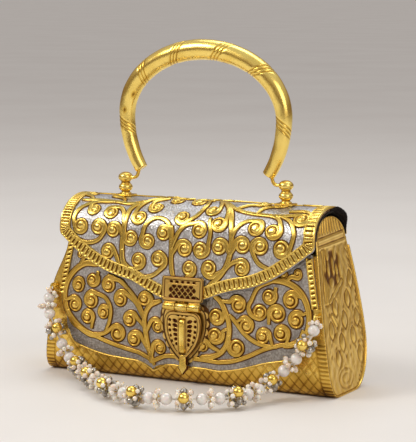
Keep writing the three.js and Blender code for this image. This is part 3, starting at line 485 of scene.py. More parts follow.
PAINTED_SHADE_STOPS = [(0.5, (0.05, 0.014, 0.006)), (1.0, (0.13, 0.045, 0.02))]
PIN_STOPS = [(0.0, (0.3, 0.24, 0.14)), (1.0, (0.6, 0.5, 0.32))]
PEWTER_STOPS = [(0.4, (0.2, 0.18, 0.15)), (1.0, (0.52, 0.49, 0.45))]
chased_gold = metal("chased_gold", GOLD_STOPS, (0.23, 0.5), True)
front_gold_painted_shade = metal("front_gold_painted_shade", FRONT_SHADED_STOPS, (0.26, 0.5), True)
plain_gold = metal("plain_gold", GOLD_STOPS, (0.2, 0.32), False)
brown_shadow = metal("brown_shadow", SHADOW_STOPS, (0.45, 0.6), False)
tan_gold = metal("tan_gold", END_STOPS, (0.3, 0.46), True)
bronze = metal("tan_bronze", TAN_STOPS, (0.34, 0.46), True)
# A near-black brown painted as shade: the flap sheet's cut edge, the clasp's shadow lines and the dark
# sheets behind its holes.
painted_shade = metal("painted_shade_dark", PAINTED_SHADE_STOPS, (0.45, 0.6), False)
pin_metal = metal("pin_wire", PIN_STOPS, (0.3, 0.4), False)
pewter = metal("pewter", PEWTER_STOPS, (0.25, 0.4), False)

STIPPLE = 1.3


def silver_ground(name, stops):
    look = Look(name, {"Metallic": 1.0})
    stipple = look.between(look.cells(STIPPLE), 0.1, 0.75, 0.2, -0.2)
    look.colour(look.total(look.noise(14, 4), stipple), stops)
    look.rough(look.noise(6, 3), 0.3, 0.7, 0.36, 0.5)
    look.bump(look.cells(STIPPLE), 0.28, 0.9)
    return look.material


def pearl_lustre(name, stops):
    look = Look(name, {
        "Coat Weight": 0.9, "Coat Roughness": 0.08, "Subsurface Weight": 0.12, "Subsurface Scale": 0.003,
    })
    look.colour(look.noise(4, 2), stops)
    look.rough(look.noise(2, 2), 0.3, 0.7, 0.14, 0.24)
    look.bump(look.noise(1.6, 2), 0.03)
    return look.material


def black_velvet():
    look = Look("black_velvet", {
        "Roughness": 0.95, "Specular IOR Level": 0.12, "Sheen Weight": 0.03, "Sheen Roughness": 0.4,
    })
    look.colour(look.noise(1.5, 4), [(0.3, (0.004, 0.003, 0.003)), (0.75, (0.024, 0.018, 0.016))])
    look.bump(look.noise(0.5, 2), 0.3)
    return look.material


def twisted_thread():
    look = Look("twisted_thread", {"Roughness": 0.8})
    look.colour(look.noise(0.7, 3), [(0.3, (0.55, 0.5, 0.43)), (0.7, (0.84, 0.8, 0.72))])
    look.bump(look.noise(0.4, 2), 0.1)
    return look.material


silver = silver_ground("stippled_silver", [
    (0.2, (0.36, 0.345, 0.335)), (0.55, (0.6, 0.595, 0.6)), (0.8, (0.78, 0.79, 0.83)),
])
# A darker copy of the silver for the front, which paints the shade that falls there.
front_silver_painted_shade = silver_ground("front_silver_painted_shade", [
    (0.2, (0.29, 0.265, 0.24)), (0.55, (0.46, 0.435, 0.41)), (0.8, (0.58, 0.56, 0.54)),
])
pearl = pearl_lustre("pearl_lustre", [
    (0.3, (0.64, 0.59, 0.55)), (0.55, (0.79, 0.76, 0.72)), (0.75, (0.78, 0.72, 0.67)),
])
seed = pearl_lustre("seed_pearl", [
    (0.35, (0.72, 0.55, 0.42)), (0.5, (0.84, 0.76, 0.66)), (0.65, (0.85, 0.82, 0.76)),
])
velvet = black_velvet()
thread = twisted_thread()


# Wrist strap: one thread, with pairs of pearls, rings of seeds and mixed clusters on it

STRAP_ROUTE = [
    (-93.9, -33.4, 51.6), (-95, -35.6, 48.6), (-95, -38, 43.6), (-90.5, -39.6, 35), (-84, -40, 22),
    (-77, -41.5, 12.5), (-66, -47, 8), (-56, -56.5, 7.6), (-48, -65, 7.6), (-32, -80, 7.6),
    (-14, -93, 7.6), (4, -102, 7.6), (16, -104, 7.6), (25, -103, 7.6), (37, -98.5, 7.6),
    (51, -90, 7.6), (60.5, -80, 7.6), (65, -67, 7.8), (68, -53, 9.5), (73.5, -43.5, 15.7),
    (82, -39.8, 24.5), (88.5, -39.6, 33.4), (92.1, -38.6, 39.2), (92.8, -36.6, 43), (92.7, -33.8, 46.6),
]
STRAP_LENGTH = 294.2
THREAD_RADIUS = 0.6
PEARL_RADIUS = 3.7
PEARL_UNIT = 31.7
PEARL_PITCH = 10.6
PEARL_START = 4.4
TOWARDS_VIEW = np.array([0.3, -0.8, 0.5])
STRAP_SEED, STRAP_PEWTER, STRAP_GOLD = 1, 2, 3
PIN_RADIUS = 0.28
PIN_HEAD = 0.4

# Rings of beads: how many, how far from the thread, and their radius
END_RING = (7, 3.4, 1.5)
PAIR_RING = (8, 4.5, 1.65)
CLUSTER_RING = (6, 4.3, 1.6)
RING_OFFSET = 3.9
CLUSTER_REACH = 4
GOLD_BEAD = (3.8, 3.5)
PEWTER_BEAD = (4.4, 2.2)
PEWTER_COUNT = 5
strap_line = through(STRAP_ROUTE, 0.9)
strap_along = spacing(strap_line)
strap_heading = directions(strap_line)
chance = random.Random(7)


def on_strap(along):
    heading = at_each(along, strap_along, strap_heading)
    return at_each(along, strap_along, strap_line), heading / np.linalg.norm(heading)


def bead_on_pin(shape, along, angle, distance, radius, kind):
    """A bead on a short pin that stands out from the thread."""
    point, heading = on_strap(along)
    side = TOWARDS_VIEW - heading * np.dot(TOWARDS_VIEW, heading)
    side /= np.linalg.norm(side)
    out = side * math.cos(angle) + np.cross(heading, side) * math.sin(angle)
    centre = point + out * distance
    shape.ball(centre, radius, out, kind)
    pin = np.array([point, centre, centre + out * (radius + PIN_HEAD)])
    shape.tube(pin, PIN_RADIUS, STRAP_GOLD, sides=6)


def ring_of_beads(shape, along, count, distance, radius, kinds, turn=0.0):
    for i in range(count):
        angle = turn + 2 * math.pi * (i + chance.uniform(-0.12, 0.12)) / count
        size = radius * chance.uniform(0.88, 1.1)
        spread = distance * chance.uniform(0.95, 1.06)
        bead_on_pin(shape, along + chance.uniform(-0.5, 0.5), angle, spread, size, kinds[i % len(kinds)])


def add_thread():
    data = bpy.data.curves.new("strap_thread_line", "CURVE")
    data.dimensions = "3D"
    data.bevel_depth = THREAD_RADIUS * MM
    data.bevel_resolution = 3
    data.use_fill_caps = True
    spline = data.splines.new("POLY")
    spline.points.add(len(strap_line) - 1)
    for mark, point in zip(spline.points, strap_line):
        mark.co = (*(point * MM), 1)
    data.materials.append(thread)
    return settle(add_object("strap_cord", data), "body", ["strap_thread"])


def add_beads():
    """Pairs of pearls with a ring of seeds between them, and a cluster after each pair."""
    looks = [pearl, seed, pewter, plain_gold]
    beads = []
    number = 0
    start = PEARL_START
    while start < STRAP_LENGTH - PEARL_START:
        pearls, metals, replaced = Shape(), Shape(), []
        for along in (start, start + PEARL_PITCH):
            if along < STRAP_LENGTH - PEARL_START:
                point, heading = on_strap(along)
                size = PEARL_RADIUS * chance.uniform(0.96, 1.02)
                pearls.ball(point, size, heading, 0, chance.uniform(0.95, 1.02), 15, 22)
                number += 1
                replaced.append(f"pearl_{number:02d}")
        middle = start + PEARL_PITCH / 2
        cluster = start + PEARL_PITCH / 2 + PEARL_UNIT / 2
        if not beads:
            ring_of_beads(pearls, 0.5, *END_RING, [STRAP_SEED], 0.3)
        if cluster + CLUSTER_REACH > STRAP_LENGTH:
            ring_of_beads(pearls, STRAP_LENGTH - 0.5, *END_RING, [STRAP_SEED], 0.3)
        if middle + 2 < STRAP_LENGTH:
            ring_of_beads(pearls, middle, *PAIR_RING, [STRAP_SEED], chance.uniform(0, 1))
        word = f"{len(beads) // 2 + 1:02d}"
        if cluster + CLUSTER_REACH < STRAP_LENGTH:
            mixed = [STRAP_SEED, STRAP_SEED, STRAP_SEED, STRAP_PEWTER]
            ring_of_beads(pearls, cluster - RING_OFFSET, *CLUSTER_RING, mixed, chance.uniform(0, 1))
            mixed = [STRAP_SEED, STRAP_PEWTER, STRAP_SEED]
            ring_of_beads(pearls, cluster + RING_OFFSET, *CLUSTER_RING, mixed, chance.uniform(0, 1))
            bead_on_pin(metals, cluster, chance.uniform(-0.35, 0.35), *GOLD_BEAD, STRAP_GOLD)
            far, radius = PEWTER_BEAD
            for i in range(PEWTER_COUNT):
                size = radius * chance.uniform(0.9, 1.05)
                bead_on_pin(metals, cluster, 1.25 + 0.95 * i, far, size, STRAP_PEWTER)
            beads.append(metals.make(f"strap_metal_beads_{word}", looks, "body", "gold"))
        beads.append(pearls.make(f"strap_pearls_{word}", looks, "body", "pearl", replaced))
        start += PEARL_UNIT
    return beads


def add_strap():
    cord = add_thread()
    beads = add_beads()


add_strap()


# Flap: its edge as drawn in X and Z, then laid on the sheet as X and distance from the crest

TIP = (2, 52.5)
SHELF_X = 38
SHELF_Z = {-1: 64, 1: 63.4}
CORNER_Z = 92.3
CORNER_ROUND = 5.5
BORDER_WIDTH = 7.5
LINING_INSET = 8
LINING_BACK = 7
LINING_BACK_X = (70, 90)
CORNER_PULL = 2.8
CORNER_RUN = 20
SHELL_SPAN = (2.9, 3.7)
LINING_SPAN = (1.0, 2.6)
EDGE_STRIP = 6
EDGE_COLUMNS = 12

# Handles of the edge's two curves on each side, as shares of run and rise: tip to shelf, and shelf to corner
DIP = {-1: (0.42, -0.05, 0.64, 0.5), 1: (0.32, 0, 0.56, 0.7)}
SWEEP = {-1: (0.35, 0.14, 0.56, 0.26), 1: (0.3, 0.08, 0.56, 0.36)}


def flap_end(s, h, side):
    """How far an end of the flap lies from its middle, with its back corner drawn in."""
    pull = CORNER_PULL * smoothstep(s, FLAP_BACK + CORNER_RUN, FLAP_BACK)
    return flap_reach(FLAP.at(s, h)[1], side) - pull


def swept(start, end, handles, count):
    near_x, near_z, far_x, far_z = handles
    (x, z), (run, rise) = start, np.subtract(end, start)
    return bezier([
        start, (x + run * near_x, z + rise * near_z), (x + run * far_x, z + rise * far_z), end,
    ], count)


def ogee(side):
    """Half of the flap's lower edge, from its tip to the rounded corner and its side."""
    shelf = (TIP[0] + side * SHELF_X, SHELF_Z[side])
    corner = (side * (flap_reach(CORNER_Z, side) + 2), CORNER_Z)
    inner = swept(TIP, shelf, DIP[side], 40)
    outer = swept(shelf, corner, SWEEP[side], 60)
    line = np.vstack([inner, outer[1:]])
    kept = line[side * line[:, 0] < flap_reach(line[:, 1], side) - 1.6]
    corner = np.array([side * flap_reach(kept[-1, 1] + 1, side), kept[-1, 1] + 1.2])
    on_side = np.array([side * flap_reach(corner[1] + CORNER_ROUND, side), corner[1] + CORNER_ROUND])
    turned = np.vstack([kept, bezier([kept[-1], corner, on_side], 14)[1:]])
    return stack(turned[:, 0], flap_drop(turned[:, 1]))


LEFT_EDGE = ogee(-1)
RIGHT_EDGE = ogee(1)


def edge_drop(x, inset=0.0):
    """How far down the flap reaches at each place across it."""
    edge = np.vstack([LEFT_EDGE[::-1], RIGHT_EDGE[1:]])
    if inset:
        edge = edge - inset * sideways(edge)
        edge = edge[np.argsort(edge[:, 0])]
    return np.interp(x, edge[:, 0], edge[:, 1])


def flap_grid(inset, step_x, rows, h_in, h_out, wobble=0.0):
    """The flap's sheet as columns from its back edge to its lower edge."""
    left, right = -LEFT_EDGE[-1, 0], RIGHT_EDGE[-1, 0]
    strip = EDGE_STRIP * np.linspace(0, 1, EDGE_COLUMNS)[:-1] ** 2
    count = int((left + right - 2 * EDGE_STRIP) / step_x)
    x = np.concatenate([
        strip - left, np.linspace(EDGE_STRIP - left, right - EDGE_STRIP, count), right - strip[::-1],
    ])
    v = np.linspace(0, 1, rows)[:, None]
    back = FLAP_BACK + (LINING_BACK * smoothstep(np.abs(x), *LINING_BACK_X) if inset else 0)
    s = back + v * (edge_drop(x, inset) - back)
    stretch = np.where(x < 0, flap_end(s, h_out, -1) / left, flap_end(s, h_out, 1) / right)
    fuzz = wobble * np.sin(x * 3.1 + 2 * np.sin(s * 1.7)) * np.sin(s * 2.3 + x)
    return FLAP.place(x * stretch, s, h_out), FLAP.place(x * stretch, s, h_in + fuzz)


def add_flap_sheets():
    sheet = Shape()
    # The sheet's cut edge takes the dark brown of painted shade.
    sheet.slab(*flap_grid(0, 2.2, 70, *SHELL_SPAN), 1, edge_kind=1)
    sheet.make("flap_ground", [silver, painted_shade], "flap", "silver", ["flap_shell"])
    lining = Shape()
    lining.slab(*flap_grid(LINING_INSET, 1.6, 80, *LINING_SPAN, wobble=0.1), 1)
    lining.make("flap_velvet", [velvet], "flap", "velvet", ["flap_lining"])


add_flap_sheets()


# Flap border: a fluted band with a thin rim on each side

BORDER_BASE = 4.0
BORDER_RISE = 0.95
BORDER_GROUND = 0.3
BORDER_STEP = 0.36
BAR_PITCH = 3.2
SIDE_BAR_PITCH = 2.1
GAP_LEFT, GAP_RIGHT = -0.12, -0.45  # where a gap begins, as the cosine of a bar's phase
LEFT_SIDE_END = (78, 92)
MIDDLE_REACH = 20

# Near its right end the border's outer edge is folded down, between two distances from that end.
FOLD_DEPTH = 2.4
FOLD_FROM, FOLD_TO = (78, 70), (30, 38)

# Places across the border, and how high its rims and its bars stand there
BORDER_ACROSS = np.array([0, 0.02, 0.07, 0.12, 0.17, 0.22, 0.5, 0.8, 0.85, 0.9, 0.94, 0.98, 1.0])
BORDER_RIMS = np.array([0.2, 0.9, 1, 0.9, 0.3, 0, 0, 0, 0.2, 0.85, 0.95, 0.8, 0.1])
BORDER_BARS = np.array([0, 0, 0, 0, 0.85, 1, 1, 1, 0.7, 0, 0, 0, 0])


def border_lines():
    """The border's outer line, and the matching points of its inner line."""
    sides = {}
    for side, edge in ((-1, LEFT_EDGE), (1, RIGHT_EDGE)):
        s = np.linspace(edge[-1, 1], FLAP_BACK, 60)[1:]
        x = side * flap_end(s, FLAP_TOP, side)
        inner = edge - side * BORDER_WIDTH * sideways(edge)
        limit = side * (np.abs(np.concatenate([edge[:, 0], x])) - BORDER_WIDTH)
        flat = np.abs(inner[:, 0]) < flap_reach(SHOULDER_Z, side) - BORDER_WIDTH
        flat[np.argmin(flat):] = flat.all()
        mitre = inner[flat][-1]
        inner[~flat] = mitre
        wall = stack(limit[len(edge):], np.minimum(s, mitre[1]))
        wall[:, 0] = np.where(s > mitre[1], mitre[0], wall[:, 0])
        sides[side] = np.vstack([edge, stack(x, s)]), np.vstack([inner, wall])
    outer = np.vstack([sides[-1][0][::-1], sides[1][0][1:]])
    inner = np.vstack([sides[-1][1][::-1], sides[1][1][1:]])
    return outer, inner


def add_border():
    outer, inner = border_lines()
    along = spacing(outer)
    at = np.arange(0, along[-1], BORDER_STEP)
    outer, inner = (at_each(at, along, line) for line in (outer, inner))
    on_left_side = 1 - smoothstep(at, *LEFT_SIDE_END)
    phase = np.cumsum(BORDER_STEP / (BAR_PITCH + (SIDE_BAR_PITCH - BAR_PITCH) * on_left_side))
    on_right = smoothstep(at - along[-1] / 2, -MIDDLE_REACH, MIDDLE_REACH)
    gap = GAP_LEFT + (GAP_RIGHT - GAP_LEFT) * on_right
    bar = smoothstep(np.cos(2 * math.pi * phase), gap - 0.35, gap + 0.25)[:, None]
    level = np.maximum(BORDER_RIMS, BORDER_BARS * bar * 0.95)
    path = outer[:, None] + (inner - outer)[:, None] * BORDER_ACROSS[:, None]
    high = BORDER_BASE + BORDER_GROUND + (BORDER_RISE - BORDER_GROUND) * level
    left = along[-1] - at
    high[:, 0] -= FOLD_DEPTH * smoothstep(left, *FOLD_FROM) * smoothstep(left, *FOLD_TO)
    low = np.minimum(high - 0.2, BORDER_BASE - 0.25)
    top, under = (FLAP.place(path[..., 0], path[..., 1], h) for h in (high, low))
    band = Shape()
    band.slab(top, under, 0.04 + 0.92 * level)
    band.make("flap_border_fluted", [chased_gold], "flap", "gold", ["flap_border"])


add_border()


# Scrollwork: stems that wind into buds

RIBBON = [
    (-1, 0), (-0.95, 0.45), (-0.68, 0.94), (-0.34, 0.6), (0, 1),
    (0.34, 0.6), (0.68, 0.94), (0.95, 0.45), (1, 0),
]
STEM_HALF = 1.3
SCROLL_STEP = 0.85
SHADOW = [(-1, 0), (-0.97, 1), (0.97, 1), (1, 0)]
SHADOW_WIDTH = 0.6
SHADOW_RISE = 0.2
FLAP_WORK = (3.6, 1.25, 1.4)  # where the work stands, and the rise of its stems and curls
FRONT_WORK = (0.6, 1.35, 1.45)
BUD_SIDES, BUD_RINGS = 32, 18
BUD_FLATNESS = 0.42
BUD_GROOVE = (0.88, 0.42)  # how far out the groove starts, and how far a turn brings it in
BUD_GROOVE_HALF = 0.13
BUD_GROOVE_END = (0.3, 0.5)
CURL_TURN = 0.6
CURL_TIP = 9


def curl_path(stem, bud):
    """A line that follows a stem and then lies round its bud, with the half-width along it."""
    x, y, radius = bud
    dx, dy = np.subtract(stem[-1], stem[-2])
    turn = math.copysign(1, dx * (y - stem[-1][1]) - dy * (x - stem[-1][0]))
    start = np.subtract(stem[-1], (x, y))
    first = math.atan2(start[1], start[0])
    share = np.linspace(0.04, 1, 24)
    settled = smoothstep(share, 0, 0.5)
    wide = math.hypot(*start) * (1 - settled) + (radius - 0.7 * STEM_HALF) * settled
    angle = first + turn * 2 * math.pi * CURL_TURN * share
    spiral = stack(x + wide * np.cos(angle), y + wide * np.sin(angle))
    path = through([*stem, *spiral], SCROLL_STEP)
    along = spacing(path)
    left = along[-1] - along
    width = STEM_HALF * (0.72 + 0.28 * smoothstep(along, 0, 9)) + 0.25 * smoothstep(left, 24, 10)
    return path, width * (0.3 + 0.7 * smoothstep(left, 0, CURL_TIP)), left, first, turn


def add_bud(shape, place, bud, base, height, first, turn):
    """A rounded bud with a groove that winds into it from where its stem comes in."""
    x, y, radius = bud
    angle = circle(BUD_SIDES)
    share = np.linspace(1, 0.04, BUD_RINGS)[:, None]
    swell = (1 - share ** 2) ** BUD_FLATNESS
    wound = (turn * (angle - first) / (2 * math.pi)) % 1
    groove = 0
    for lap in (0, 1):
        line = BUD_GROOVE[0] - BUD_GROOVE[1] * (wound + lap)
        groove = np.maximum(groove, ridge(share - line, BUD_GROOVE_HALF) * smoothstep(line, *BUD_GROOVE_END))
    u, v = x + radius * share * np.cos(angle), y + radius * share * np.sin(angle)
    points = place(u, v, base + height * (swell - 0.52 * groove))
    shape.grid(points, np.clip(0.3 + swell, 0, 1) - 0.95 * groove, loop=True, caps=True)


def add_raised(shape, place, path, width, base, rise):
    """A ribbon with a painted shadow line along each of its sides."""
    shape.ribbon(place, path, width, base, rise, RIBBON)
    shape.ribbon(place, path, width + SHADOW_WIDTH, base, SHADOW_RISE, SHADOW, 1)


def add_curl(shape, place, base, rise, stem, bud):
    path, width, left, first, turn = curl_path(stem, bud)
    add_raised(shape, place, path, width, base, rise * (0.5 + 0.5 * smoothstep(left, 0, CURL_TIP)))
    add_bud(shape, place, bud, base, rise * 1.3, first + turn * 0.9, turn)
    # A thin painted shadow ring round the bud.
    angle = np.linspace(0, 2 * math.pi, 30)
    edge = stack(bud[0] + bud[2] * np.cos(angle), bud[1] + bud[2] * np.sin(angle))
    shape.ribbon(place, edge, SHADOW_WIDTH, base, SHADOW_RISE, SHADOW, 1)


def add_stem(shape, place, base, rise, points, half_width):
    path = through(points, 1.1)
    along = spacing(path)
    taper = smoothstep(along, -2, 5) * smoothstep(along[-1] - along, -2, 5)
    add_raised(shape, place, path, half_width * (0.35 + 0.65 * taper), base, rise)


def add_work(shape, place, work, stems, curls):
    base, stem_rise, curl_rise = work
    for points, half_width in stems:
        add_stem(shape, place, base, stem_rise, points, half_width)
    for stem, bud in curls:
        add_curl(shape, place, base, curl_rise, stem, bud)


# Places on the flap are X and the distance down from its crest.
FLAP_STEMS = [
    ([(-36, 12), (-42, 19), (-43, 27), (-43.5, 36), (-44, 46), (-43, 55), (-40, 61)], 1.7),
    ([(-82, 14), (-70, 13), (-56, 14), (-44, 15), (-36, 11), (-31, 6), (-28, -1)], 1.5),
    ([(-9, 31), (-8.5, 42), (-8, 53), (-7, 60), (-5, 64.5)], 1.5),
    ([
        (14, 0), (20, 7), (27, 16), (31, 25), (33, 34), (33, 43), (32, 50), (29, 57), (24, 63), (18, 68),
    ], 1.7),
    ([(20, 5), (30, 14), (41, 17.5), (52, 18.5), (64, 18.5), (76, 16)], 1.4),
]
FLAP_CURLS = [
    ([(-56, 14.5), (-70, 16), (-78, 21.5), (-81, 29), (-79.5, 36.5)], (-75.3, 35, 5)),
    ([(-66, 14.5), (-72, 18), (-71.5, 22.5)], (-68.3, 22.8, 4.2)),
    ([(-43.5, 32), (-46, 24), (-50, 20), (-55, 19.8)], (-55, 24.5, 4.6)),
    ([(-83, 41), (-71, 45.5), (-62, 43.5), (-57.6, 37.5)], (-62.4, 35, 5)),
    ([(-44, 41), (-46, 36)], (-51.3, 36.3, 4.7)),
    ([(-44, 62), (-47, 54), (-50, 48.5)], (-54.3, 50.5, 4.6)),
    ([(-33, 9), (-37, 18), (-38, 25.5)], (-33.6, 26.8, 4.7)),
    ([(-43.5, 30), (-42.6, 40)], (-38, 40.6, 4.7)),
    ([(-9, 40), (-11, 31), (-17, 26.6), (-23, 27), (-28, 32), (-30, 39)], (-25.6, 42, 4.7)),
    ([(-9, 43), (-9.6, 36.5)], (-14.6, 36, 4.9)),
    ([(-43.5, 48), (-42, 56), (-36.5, 60), (-30.5, 59)], (-31.6, 54.3, 4.7)),
    ([(-40, 58), (-30, 64.3), (-21, 63.3), (-13.5, 57.5)], (-17.3, 52.5, 5)),
    ([(6, 2), (8.5, 12), (6.5, 22), (0.5, 28.3)], (-3.6, 24.6, 4.7)),
    ([(-22, 4), (-29, 11), (-29, 17.5)], (-24.8, 17.6, 4.5)),
    ([(-8.5, 46), (-4, 35), (1, 30), (7, 28.4)], (10.3, 33, 5)),
    ([(-8, 50), (-4.5, 43.5)], (1, 45, 5)),
    ([(16, 24), (18.3, 33), (17.3, 43)], (12, 45, 5)),
    ([(20, 8), (25.5, 16), (27.8, 26)], (22.8, 27.8, 5)),
    ([(13, 1), (17.5, 9), (19, 16)], (14.8, 17, 4.6)),
    ([(33, 38), (36, 30), (41.5, 24.8), (48.5, 23.6)], (48.8, 29, 5.2)),
    ([(53, 18.7), (61.5, 21), (65.8, 28)], (60.6, 30.6, 5)),
    ([(62, 18.7), (70, 22.5), (75, 31), (73, 41)], (67.4, 41, 5.4)),
    ([(66, 13.5), (77, 12.3), (83, 17.5)], (77, 20.3, 5.6)),
    ([(62, 54.5), (52.5, 50.5), (47.6, 43)], (53, 40.3, 5.3)),
    ([(33, 47), (35.6, 42)], (41, 40.3, 5.1)),
    ([(33, 48), (30.6, 43)], (25, 42.3, 5)),
    ([(29, 58), (33.5, 52.5), (40, 49.6)], (41.4, 54.6, 4.8)),
    ([(30, 56), (24, 59.5)], (18.6, 56, 5)),
    ([(2, 66), (4, 62)], (5, 57, 4.7)),
    ([(-50, 14.5), (-53, 9), (-59, 6.5)], (-60, 2, 4.5)),
    ([(46, 18), (48, 11), (54, 7)], (56, 2.5, 4.7)),
    ([(30, 14.5), (36, 8), (42, 6.5)], (43.5, 2, 4.4)),
    ([(-74, 13), (-78, 8), (-82, 6)], (-81, 1.5, 4)),
    ([(-6, 0), (-10, 1.6)], (-15, 7, 4.5)),
    ([(9, 2.5), (5, 1.6)], (0.6, 7.4, 4.7)),
]

# These are repeated behind the crest, on a smaller scale.
BACK_SHARE = 0.55
BACK_STEMS = (FLAP_STEMS[1], FLAP_STEMS[4])
BACK_CURLS_FROM, BACK_CURLS_TO = 12, 31

# Places on the front are X and Z.
FRONT_STEMS = [
    ([(-20, 10.5), (-23.5, 20), (-26, 31), (-27, 41), (-23, 48.5), (-15, 52)], 1.7),
    ([(-26, 36), (-31, 48), (-38, 56), (-47, 62.5), (-55, 65.5)], 1.2),
    ([
        (20, 59), (26, 55), (30, 48.5), (32.6, 42), (33, 35), (31, 27.5), (27, 22.5), (21, 19.6), (13, 19),
    ], 1.7),
    ([(33, 47), (38, 42), (43, 36.5), (50, 32), (58, 29.8), (66, 29.5)], 1.4),
    ([
        (-62, 71), (-71, 71.5), (-79, 67), (-85, 58.5), (-86.5, 49), (-84, 40),
        (-78, 33), (-70, 27.6), (-62, 25),
    ], 1.9),
    ([
        (50, 66.5), (60, 70), (71, 69.3), (79.5, 65), (85.5, 56), (87, 46), (84.5, 38), (78, 33), (70, 30.4),
    ], 1.9),
]
FRONT_CURLS = [
    ([(-72, 29), (-64, 26.6), (-56, 28), (-49.5, 33)], (-46.5, 28.4, 5.2)),
    ([(-56, 28), (-52.6, 36), (-52, 44), (-56, 50.5), (-63, 53)], (-66.6, 48, 5)),
    ([(-72.5, 57.5), (-74, 61)], (-76.4, 57, 4.3)),
    ([(-62, 67), (-62.3, 64)], (-66, 61, 4.3)),
    ([(-38, 56), (-45, 62), (-51, 63)], (-54, 58.8, 4.7)),
    ([(-86, 47), (-82, 48.5)], (-78.4, 44.6, 4.5)),
    ([(-66, 30), (-65, 36)], (-69, 37.6, 4.7)),
    ([(-53, 45), (-55, 44.8)], (-57.3, 41, 4)),
    ([(-28, 40), (-33.5, 49), (-41, 54.6)], (-45, 50.4, 4.6)),
    ([(-26.5, 34), (-33, 40.5)], (-38, 38.2, 4.6)),
    ([(-23, 18), (-29, 28)], (-34.5, 26, 4.7)),
    ([(-26, 30), (-22.5, 38)], (-17.4, 35.4, 4)),
    ([(-22.5, 12), (-20.5, 23)], (-15.6, 22, 4)),
    ([(-27, 43), (-22.6, 49)], (-27.4, 52.2, 4.7)),
    ([(-76, 70), (-73, 75)], (-75.5, 77, 2.6)),
    ([(62, 69.5), (52, 65), (47.3, 56)], (53.6, 50, 5)),
    ([(64, 66), (63.5, 62.5)], (59.6, 60, 4.6)),
    ([(60, 43), (60, 48)], (65.5, 50, 5.4)),
    ([(83, 61), (79, 62)], (74.2, 58.8, 5)),
    ([(85, 52), (82.5, 51)], (78.2, 47, 5)),
    ([(72, 31), (73.5, 37)], (68.6, 38.4, 5)),
    ([(63, 30), (61, 36)], (56.2, 35.6, 4.7)),
    ([(38, 43), (40, 44)], (45, 41, 5)),
    ([(27, 55), (33.5, 55)], (39, 53.4, 5)),
    ([(30, 51), (28.6, 47)], (23.8, 45, 5)),
    ([(32, 38), (28.5, 36)], (23.2, 33, 5)),
    ([(33, 34), (33.4, 30)], (38.3, 26.8, 5.4)),
    ([(28, 23), (19.5, 27)], (15, 26, 3.6)),
    ([(70, 69), (74, 73), (78, 72.5)], (78, 75.5, 2.6)),
    ([(61, 70), (62, 74), (66, 75.5)], (69, 73.8, 2.4)),
]


def over_crest(points):
    """The same places on the far side of the crest, drawn together above the hinge."""
    return [(x, -BACK_SHARE * s) for x, s in points]


def add_scrolls():
    flap = Shape()
    add_work(flap, FLAP.place, FLAP_WORK, FLAP_STEMS, FLAP_CURLS)
    stems = [(over_crest(points), half_width) for points, half_width in BACK_STEMS]
    curls = []
    for stem, (x, s, radius) in FLAP_CURLS:
        if BACK_CURLS_FROM < s < BACK_CURLS_TO:
            curls.append((over_crest(stem), (x, -BACK_SHARE * s, radius)))
    add_work(flap, FLAP.place, FLAP_WORK, stems, curls)
    flap.make("flap_scrolls", [chased_gold, brown_shadow], "flap", "gold")
    front = Shape()
    add_work(front, front_place, FRONT_WORK, FRONT_STEMS, FRONT_CURLS)
    front.make("front_scrolls", [front_gold_painted_shade, brown_shadow], "body", "gold")


add_scrolls()


# Front: silver ground, raised rail and fluted strips

CLASP_X = 2
CUSP_X = 24
SHELF_RISE = 1.5
RAIL_END_X = 84.5
RAIL_TURN = 5.3
RAIL_FOOT_Z = 17.3
PLATE_FOOT_Z = 11.5
RAIL_HALVES = {-1: (4, 5, 32), 1: (0.6, 13.7, 33)}
PLATE_HALVES = {-1: (4.5, 0.5, 20.5), 1: (0.8, 9.3, 22.5)}
PLATE_SPAN = (0.3, 0.7)
STRIP_FOOT = {-1: (91, 51), 1: (93.2, 54.5)}
STRIP_TOP_X = {-1: 85.2, 1: 87.2}
STRIP_TOP_Z = 85
STRIP_BASE, STRIP_GROUND, STRIP_RISE = 0.75, 1.3, 0.8
STRIP_WIDTH = 4.6
STRIP_STEP = 0.3
STRIP_PITCH = 2.9
STRIP_SLANT = 0.25
HEM = [(-1, 0), (-0.7, 0.8), (0, 1), (0.7, 0.8), (1, 0)]
BRACKET_SHARES = (0.55, 0.9, 1, 1.15, 1.6)
PLATE_END_Z = 33
RAIL_END_Z = 46
RAIL_START = 6
RAIL_HALF, RAIL_BASE, RAIL_RISE = 1.3, 0.65, 1.4
HEM_HALF, HEM_BASE, HEM_RISE = 0.6, 0.4, 0.75

# Places across a strip, and how high its rims and its bars stand there
STRIP_ACROSS = np.array([0, 0.03, 0.1, 0.16, 0.24, 0.5, 0.76, 0.84, 0.9, 0.97, 1])
STRIP_RIMS = np.array([0.1, 0.8, 0.9, 0.8, 0.2, 0, 0.2, 0.8, 0.9, 0.8, 0.1])
STRIP_BARS = np.array([0, 0, 0, 0.3, 1, 1, 1, 0.3, 0, 0, 0])


def bracket(side, foot, halves, end_z):
    """Half of a bracket line from the clasp out, with the turn at its end."""
    cusp, rise, side_z = halves[side]
    near, neck, cusp_x, past, shelf_x = (CLASP_X + side * CUSP_X * share for share in BRACKET_SHARES)
    shelf = (shelf_x, foot + SHELF_RISE)
    end_x = side * (RAIL_END_X - RAIL_TURN)
    return np.vstack([
        bezier([(CLASP_X, foot), (near, foot)], 12),
        bezier([(near, foot), (neck, foot), (cusp_x, foot - cusp)], 12)[1:],
        bezier([(cusp_x, foot - cusp), (past, foot), shelf], 14)[1:],
        bezier([shelf, ((shelf_x + end_x) / 2, foot + rise), (end_x, side_z)], 24)[1:],
        bezier([(end_x, side_z), (side * (RAIL_END_X - 1), side_z + 4), (side * RAIL_END_X, end_z)], 12)[1:],
    ])


def eased(line):
    """A smooth line through some of a bracket's points, with its corners taken off."""
    return through(np.vstack([line[:24:11], line[24::7]]), 0.9)


